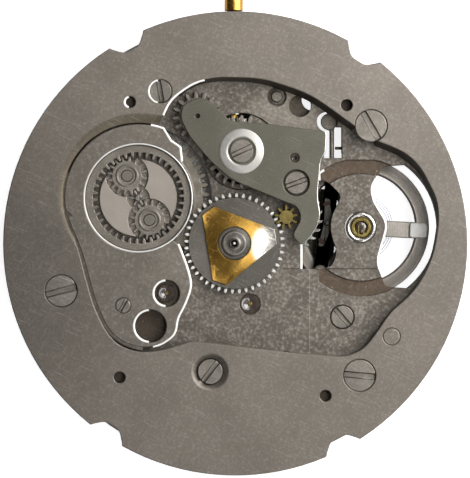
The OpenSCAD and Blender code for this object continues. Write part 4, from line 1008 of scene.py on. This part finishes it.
@dataclass
class Plates:
    """The main plate, the outer plate and what stands in them."""

    edge: float = 0.05
    round_r: float = 0.08
    slope_w: float = 0.3
    wall_h: float = 1.25
    web_reach: float = 4.15

    def build(self) -> None:
        """Makes both plates, their painted edge highlights and shade, the plug, the guide pin and the
        setting lever.
        """
        soften("main_plate", Finish.FLOOR, self.edge * 0.6)
        soften("outer_plate", Finish.PLATE, self.edge)
        for node in ("plate_plug", "guide_pin", "setting_lever"):
            soften(node, Finish.PEAR, 0.05)
        # Rounded edges in a near-white finish: painted highlights beside the balance and left of the
        # transfer wheel.
        web = Brink.pick("main_plate", self._by_balance)
        add_to(web.bead("web_bright_edge", self.round_r * 1.3, Finish.EDGE), "main_plate")
        recess = Brink.pick("outer_plate", self._by_transfer)
        add_to(recess.bead("recess_bright_edge", self.round_r, Finish.EDGE), "outer_plate")
        # A slope in a near-black finish: painted shade along the top and right of the recess wall.
        wall = Brink.pick("outer_plate", self._top_right)
        add_to(wall.slope("recess_dark_wall", self._slope_w, self.wall_h, Finish.WALL), "outer_plate")

    def _by_balance(self, middle: Vector, way: Vector) -> bool:
        """The edges beside the balance that face the right."""
        return middle.z > FLOOR_TOP and far(middle, BALANCE) < self.web_reach and way.x > 0.55

    @staticmethod
    def _by_transfer(middle: Vector, way: Vector) -> bool:
        """The edge of the recess left of the transfer wheel."""
        near = middle.x < -1.5 and middle.y > 5.5 and middle.xy.length < 11
        return near and middle.z > PLATE_TOP and way.x > 0.25

    @staticmethod
    def _top_right(middle: Vector, way: Vector) -> bool:
        """The edge of the recess along the top and the right, clear of the screws and the guide hole.

        Args:
            middle: Middle of an edge, in millimetres.
            way: The level way out.

        Returns:
            Whether the edge is picked.
        """
        inside = 5.5 < middle.xy.length < 12 and middle.z > PLATE_TOP and middle.x > -3.2
        clear = all(far(middle, hole) > room for hole, room in PLATE_HOLES)
        return inside and clear and (way.y < -0.1 or way.x < -0.4)

    def _slope_w(self, way: Vector) -> float:
        """Width of the painted-shade slope for a way out.

        Args:
            way: The level way out.

        Returns:
            The width, in millimetres.
        """
        left, down = max(0.0, -way.x), max(0.0, -way.y)
        share = 0.6 * down + 0.12 * left + 0.9 * left * down ** 2
        return self.slope_w * max(0.12, min(1.0, share))

@dataclass
class FrontBridges:
    """The pear-shaped barrel bridge and the dark train bridge."""

    round_r: float = 0.08
    seam_w: float = 0.16
    seam_h: float = 0.07
    rim_at: float = 2.97
    rim_r: float = 0.05
    ring_room: float = 3.3

    def build(self) -> None:
        """Makes the two bridges, their rounded edges, the pear's painted as highlights, and the washer on
        the dark one.
        """
        soften("barrel_bridge", Finish.PEAR, 0.05)
        soften("train_bridge", Finish.BRIDGE, 0.04)
        # Rounded edge in a near-white finish: painted highlight on the pear's right-hand edge.
        pear = Brink.pick("barrel_bridge", self._pear_edge)
        add_to(pear.bead("pear_bright_edge", self.round_r, Finish.EDGE), "barrel_bridge")
        seam = Brink.pick("barrel_bridge", self._pear_seam)
        add_to(seam.slope("pear_seam", lambda way: self.seam_w, self.seam_h, Finish.PEAR), "barrel_bridge")
        self._rim()
        dark = Brink.pick("train_bridge", self._dark_edge)
        add_to(dark.bead("bridge_bright_edge", self.round_r * 0.6, Finish.STEEL), "train_bridge")
        low, high = heights("crown_washer")
        washer = turn("washer", CROWN, (
            (0.74, low), (1.24, low), (1.24, high - 0.08), (1.18, high - 0.045), (0.82, high),
            (0.74, high - 0.05)), Finish.WASHER, closed=True)
        adopt(round_edges(washer, 0.02, angle=20), "crown_washer")

    def _rim(self) -> None:
        """A painted highlight: a pale ring on the edge of the round opening."""
        top, r = heights("barrel_bridge")[1], self.rim_r
        rim = [(self.rim_at + r * math.cos(a), top - r * 0.8 + r * math.sin(a))
               for a in (math.tau * i / 12 for i in range(12))]
        add_to(turn("pear_bright_rim", BARREL, rim, Finish.HIGHLIGHT_STEEL, closed=True), "barrel_bridge")

    @staticmethod
    def _dark_edge(middle: Vector, way: Vector) -> bool:
        """The right-hand edge of the dark bridge."""
        return way.x > 0.7 and middle.x > 3.9 and middle.z > PEAR_TOP

    def _pear_edge(self, middle: Vector, way: Vector) -> bool:
        """The right-hand edge of the pear below and above the ring."""
        side = middle.x > -4.5 or self._by_hole(middle)
        return side and middle.z > PEAR_TOP and way.x > 0.0 and far(middle, BARREL) > self.ring_room

    def _pear_seam(self, middle: Vector, way: Vector) -> bool:
        """The left and lower edge of the pear, along the outer plate."""
        side = way.x < 0.0 and way.y < 0.35 and not self._by_hole(middle)
        return side and middle.z > PEAR_TOP and far(middle, BARREL) > self.ring_room

    @staticmethod
    def _by_hole(middle: Vector) -> bool:
        """The edge belongs to a hole in the pear's tail."""
        return min(far(middle, hole) for hole in TAIL_HOLES) < 1.0

@dataclass
class Differential:
    """The toothed ring, the light disc and the small wheels in the pear's opening."""

    edge: float = 0.02

    def build(self) -> None:
        """Makes the ring, the disc, the two planets and the sun."""
        soften("ring_gear", Finish.RING, 0.03)
        soften("planet_carrier", Finish.CARRIER, self.edge)
        for node in ("planet_gear_a", "planet_gear_b", "sun_gear"):
            soften(node, Finish.RING, 0.03)

@dataclass
class Train:
    """The going train: barrel, wheels and the centre wheel with its friction spring."""

    spring_bow: float = 0.13
    spring_sink: float = 0.03
    seat_r: float = 0.9
    bow_end: float = 0.85
    tip_start: float = 0.9
    tip_rise: float = 0.5

    def build(self) -> None:
        """Makes the barrel, the wheels, the friction spring and the centre hub."""
        soften("barrel_drum", Finish.DRUM, 0.03)
        soften("centre_wheel", Finish.WHEEL, 0.02)
        for node in ("second_wheel", "third_wheel", "escape_pinion"):
            soften(node, Finish.OLD_BRASS, 0.015, 1)
        for node in ("barrel_cover", "ratchet_wheel", "barrel_arbor"):
            soften(node, Finish.STEEL, 0.02, 1)
        dress("mainspring", Finish.BLUED)
        self._spring()
        self._hub()

    def _spring(self) -> None:
        """The brass spring, bowed down towards its three tips, which bend up."""
        node = "friction_spring"
        shape = clean_copy(node)
        bmesh.ops.triangulate(shape, faces=[f for f in shape.faces if abs(f.normal.z) > 0.5])
        long_edges = [e for e in shape.edges if e.calc_length() > 0.3 * MM]
        bmesh.ops.subdivide_edges(shape, edges=long_edges, cuts=3, use_grid_fill=True)
        reach = max(far(v.co / MM, CENTRE) for v in shape.verts) - self.seat_r
        for vert in shape.verts:
            share = (far(vert.co / MM, CENTRE) - self.seat_r) / reach
            bow = self.spring_bow * (1 - min(share / self.bow_end, 1.0))
            tip = self.tip_rise * max(0.0, share - self.tip_start)
            vert.co.z += (bow + tip - self.spring_sink) * MM
        piece = link("friction_spring_form", mesh_of(node, shape, 30.0), Finish.BRASS)
        adopt(round_edges(piece, 0.012, 2, 60.0), node)

    @staticmethod
    def _hub() -> None:
        """The stepped steel hub and the tube, with a pivot in its mouth painted white as a highlight."""
        low, high = heights("centre_hub")
        profile = ((0, low), (0.9, low), (0.9, low + 0.12), (0.84, low + 0.14), (0.72, low + 0.14),
                   (0.68, low + 0.2), (0.6, low + 0.28), (0.42, low + 0.26), (0.34, low + 0.28),
                   (0.26, low + 0.33), (0.24, high - 0.02), (0.225, high), (0.19, high - 0.03),
                   (0.19, low + 0.2), (0, low + 0.2))
        adopt(round_edges(turn("hub_and_tube", CENTRE, profile, Finish.HUB), 0.015, 2, 25), "centre_hub")
        dot = ((0, low + 0.2), (0.07, low + 0.2), (0.07, high - 0.08), (0.04, high - 0.04),
               (0, high - 0.03))
        add_to(turn("centre_pivot", CENTRE, dot, Finish.EDGE), "centre_hub")

@dataclass
class Winding:
    """The stem and the wheels that wind the barrel."""

    thread_pitch: float = 0.25
    thread_w: float = 0.07
    thread_start: float = 12.95
    thread_gap: float = 0.15
    thread_depth: float = 0.03

    def build(self) -> None:
        """Makes the winding wheels, the pinions, the stem and the click."""
        for node in ("crown_wheel", "transfer_wheel"):
            soften(node, Finish.RING, 0.025)
        for node in ("winding_pinion", "sliding_pinion", "click"):
            soften(node, Finish.STEEL, 0.02, 1)
        dress("click_spring", Finish.BLUED)
        soften("stem", Finish.BRASS, 0.04)
        self._thread()

    def _thread(self) -> None:
        """A fine thread round the stem's free end, as a ridge along a spiral."""
        low, high = (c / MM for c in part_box("stem"))
        radius, middle = (high.z - low.z) / 2, (low + high) / 2
        length = high.y - self.thread_gap - self.thread_start
        tree = FormTree("stem_thread", {"Radius": radius - self.thread_depth, "Length": length,
                                        "Turns": length / self.thread_pitch,
                                        "Ridge": self.thread_w / 2})
        spiral = tree.spiral(32, tree.size("Radius"), tree.size("Radius"), tree.size("Length"))
        form = tree.sweep(spiral, tree.ring(6, tree.size("Ridge")))
        form = tree.move(form, Rotation=(-math.pi / 2, 0, 0), Scale=(MM, MM, MM),
                         Translation=(middle.x * MM, self.thread_start * MM, middle.z * MM))
        add_to(tree.make("stem_thread_ridge", form, Finish.BRASS, angle=70), "stem")

@dataclass
class Escapement:
    """The escape wheel, the pallets and their bridge."""

    def build(self) -> None:
        """Makes the escape wheel, the fork, its stones and the pallet bridge."""
        soften("escape_wheel", Finish.STEEL, 0.015, 1)
        # The fork is near-black, as painted shade.
        soften("pallet_fork", Finish.SHADE_STEEL, 0.02, 1)
        soften("pallet_bridge", Finish.BRIDGE, 0.03)
        # The stones are near-black, as painted shade.
        dress("pallet_stones", Finish.SHADE_RUBY)

@dataclass
class Balance:
    """The balance, its fine spring and the shock setting."""

    turns: float = 12.0
    inner: float = 0.42
    outer: float = 1.92
    strip_w: float = 0.03
    strip_h: float = 0.1

    def build(self) -> None:
        """Makes the wheel, the weights, the spring and the setting."""
        soften("balance_wheel", Finish.RIM, 0.05)
        # The weights in a near-white finish, as painted highlights.
        soften("balance_weights", Finish.EDGE, 0.07, 3)
        for node in ("balance_staff", "roller", "hairspring_stud"):
            soften(node, Finish.STEEL, 0.015, 1)
        self._spring()
        self._setting()

    def _spring(self) -> None:
        """The fine blued spring, with the full number of turns."""
        tree = FormTree("fine_spring", {"Turns": self.turns, "Inner": self.inner, "Outer": self.outer,
                                        "Strip Width": self.strip_w, "Strip Height": self.strip_h})
        spiral = tree.spiral(48, tree.size("Inner"), tree.size("Outer"), 0.0)
        strip = tree.node("GeometryNodeCurvePrimitiveQuadrilateral", None, {
            "Width": tree.size("Strip Width"), "Height": tree.size("Strip Height")})
        level = sum(heights("hairspring")) / 2
        form = tree.move(tree.sweep(spiral, strip), Rotation=(0, 0, math.pi / 2), Scale=(MM, MM, MM),
                         Translation=(BALANCE[0] * MM, BALANCE[1] * MM, level * MM))
        adopt(tree.make("fine_spring_coil", form, Finish.BLUED), "hairspring")

    @staticmethod
    def _setting() -> None:
        """The polished ring, the brass cup, the cap jewel and the lyre spring."""
        low, high = heights("balance_setting")
        ring = turn("setting_ring", BALANCE, (
            (0.55, low), (0.86, low), (0.86, high - 0.12), (0.82, high - 0.04), (0.75, high), (0.68, high),
            (0.6, high - 0.05), (0.55, high - 0.13)), Finish.STEEL, closed=True)
        adopt(round_edges(ring, 0.02, angle=20), "balance_setting")
        low, high = heights("shock_chaton")
        cup = turn("chaton_cup", BALANCE, ((0.1, low), (0.55, low), (0.55, high - 0.02), (0.53, high),
                                           (0.36, high), (0.3, low + 0.16), (0.1, low + 0.16)),
                   Finish.OLD_BRASS, closed=True)
        adopt(round_edges(cup, 0.015, angle=25), "shock_chaton")
        low, high = heights("cap_jewel")
        stone = turn("cap_stone", BALANCE, ((0, low), (0.3, low), (0.3, high - 0.05), (0.24, high - 0.015),
                                            (0.12, high), (0, high)), Finish.DULL_STONE)
        adopt(stone, "cap_jewel")
        soften("shock_spring", Finish.OLD_BRASS, 0.012, 1)

@dataclass
class Jewels:
    """Jewel bearings, made as one turned stone that stands on points."""

    cup_share: float = 0.5

    def _stone(self) -> bpy.types.Object:
        """The pattern stone, with an oil cup and a hole, of radius 1 m and height 0.22 m.

        Returns:
            The stone, in the scene.
        """
        profile = ((0.15, -0.22), (0.96, -0.22), (1.0, -0.18), (1.0, -0.03), (0.95, 0.0), (0.62, 0.0),
                   (self.cup_share, -0.02), (0.3, -0.09), (0.15, -0.11))
        return turn("pattern_stone", MIDDLE, [(r / MM, z / MM) for r, z in profile], Finish.DULL_STONE,
                    closed=True, steps=40)

    def build(self) -> None:
        """Makes the front and the rear jewels."""
        for node, finish, down in (("front_jewels", Finish.DULL_STONE, False),
                                   ("rear_jewels", Finish.RUBY, True)):
            pattern = self._stone()
            tree = FormTree(f"{node}_set", {"Stone": pattern})
            stone = tree.node("GeometryNodeObjectInfo", None, {"Object": tree.size("Stone")}, "Geometry")
            if down:
                stone = tree.move(stone, Rotation=(math.pi, 0, 0))
            form = tree.stand(tree.size("Geometry"), stone)
            adopt(tree.make(f"{node}_stones", form, finish, seats(node, repeat(0.0), down), 30), node)
            bpy.data.objects.remove(pattern)

@dataclass
class Rear:
    """The bridges and the cock on the rear side."""

    edge: float = 0.06

    def build(self) -> None:
        """Makes the rear bridges and the cock."""
        for node in ("rear_barrel_bridge", "rear_train_bridge", "balance_cock"):
            soften(node, Finish.REAR, self.edge, 3)

@dataclass
class Stage:
    """The pale floor, the soft light and the camera."""

    floor_size: float = 600.0
    floor_glow: float = 0.85
    floor_gleam: float = 0.2
    frame_centre: Point = (-0.016, 0.24)
    frame_height: float = 26.24
    camera_height: float = 260.0
    left_light: float = 0.11
    top_light: float = 0.13
    strip_light: float = 5.5
    right_light: float = 0.6
    lamp_at: Tuple[float, float, float] = (38.0, 18.0, 32.0)
    lamp_size: Point = (36.0, 56.0)
    lamp_power: float = 0.0405

    def build(self) -> None:
        """Makes the floor, the world, the lamp and the camera."""
        low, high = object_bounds()
        self._floor(low.z)
        self._world()
        self._lamp()
        self._camera(high.z)

    def _floor(self, z: float) -> None:
        """A plain floor under the movement.

        Args:
            z: Height of the floor, in metres.
        """
        shape = bmesh.new()
        half = self.floor_size / 2 * MM
        sides = ((-1, -1), (1, -1), (1, 1), (-1, 1))
        shape.faces.new([shape.verts.new((x * half, y * half, z)) for x, y in sides])
        mesh = mesh_of("floor", shape)
        mesh.materials.append(material("pale_floor", self._floor_inputs))
        floor = add_object("floor", mesh)
        floor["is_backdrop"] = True

    def _floor_inputs(self, tree: Tree) -> Dict[str, Value]:
        """Inputs of the floor's shader, which is white to the camera and faint in reflections.

        Args:
            tree: The material's tree.

        Returns:
            Value or link of each input, by its name.
        """
        seen = tree.node("ShaderNodeLightPath", output="Is Camera Ray")
        glossy = tree.node("ShaderNodeLightPath", output="Is Glossy Ray")
        return {"Base Color": (0.8, 0.8, 0.8, 1), "Roughness": 0.9, "Emission Color": (1, 1, 1, 1),
                "Emission Strength": seen * self.floor_glow + glossy * self.floor_gleam}

    def _world(self) -> None:
        """A soft studio room, darker on the left, with a bright strip a little right of overhead."""
        world = bpy.data.worlds.new("studio")
        bpy.context.scene.world = world
        world.use_nodes = True
        world.node_tree.nodes.clear()
        tree = Tree(world.node_tree)
        towards = tree.node("ShaderNodeTexCoord", output="Generated")
        side = tree.node("ShaderNodeSeparateXYZ", None, {0: towards}, "X") * 0.5 + 0.5
        levels = ((0.0, self.left_light * 0.4), (0.35, self.left_light), (0.5, self.top_light),
                  (0.565, self.top_light), (0.58, self.strip_light), (0.605, self.strip_light),
                  (0.62, self.right_light))
        stops = [(place, (level,) * 3) for place, level in levels]
        light = tree.node("ShaderNodeValToRGB", {"stops": stops}, {0: side})
        sky = tree.node("ShaderNodeBackground", None, {"Color": light, "Strength": 1.0})
        seen = tree.node("ShaderNodeLightPath", output="Is Camera Ray")
        plain = tree.node("ShaderNodeBackground", None, {"Color": (1, 1, 1, 1), "Strength": 1.0})
        both = tree.node("ShaderNodeMixShader", None, {0: seen, 1: sky, 2: plain})
        tree.node("ShaderNodeOutputWorld", None, {"Surface": both})

    def _lamp(self) -> None:
        """One soft lamp high on the right."""
        light = bpy.data.lights.new("window", "AREA")
        light.shape = "RECTANGLE"
        light.size, light.size_y = (side * MM for side in self.lamp_size)
        light.energy = self.lamp_power
        lamp = add_object("window", light)
        lamp.location = Vector(self.lamp_at) * MM
        lamp.rotation_mode = "QUATERNION"
        lamp.rotation_quaternion = lamp.location.to_track_quat("Z", "Y")
        lamp.visible_camera = False

    def _camera(self, top: float) -> None:
        """A long lens straight above.

        Args:
            top: Height of the movement's top face, in metres.
        """
        lens = bpy.data.cameras.new("camera")
        lens.sensor_width = 36.0
        lens.lens = lens.sensor_width * self.camera_height / self.frame_height
        lens.clip_start = 10 * MM
        lens.clip_end = 10.0
        camera = add_object("camera", lens)
        x, y = (place * MM for place in self.frame_centre)
        camera.location = (x, y, top + self.camera_height * MM)
        bpy.context.scene.camera = camera

def main() -> None:
    """Builds the movement's looks around the frame."""
    logging.basicConfig(level=logging.INFO, format="%(name)s: %(message)s")
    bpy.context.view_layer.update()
    bpy.context.scene.view_settings.view_transform = "Standard"
    for assembly in (Stage(), Plates(), FrontBridges(), Differential(), Train(), Winding(), Escapement(),
                     Balance(), Jewels(), Fasteners(), Rear()):
        LOG.info("building %s", type(assembly).__name__)
        assembly.build()

if __name__ == "__main__":
    main()
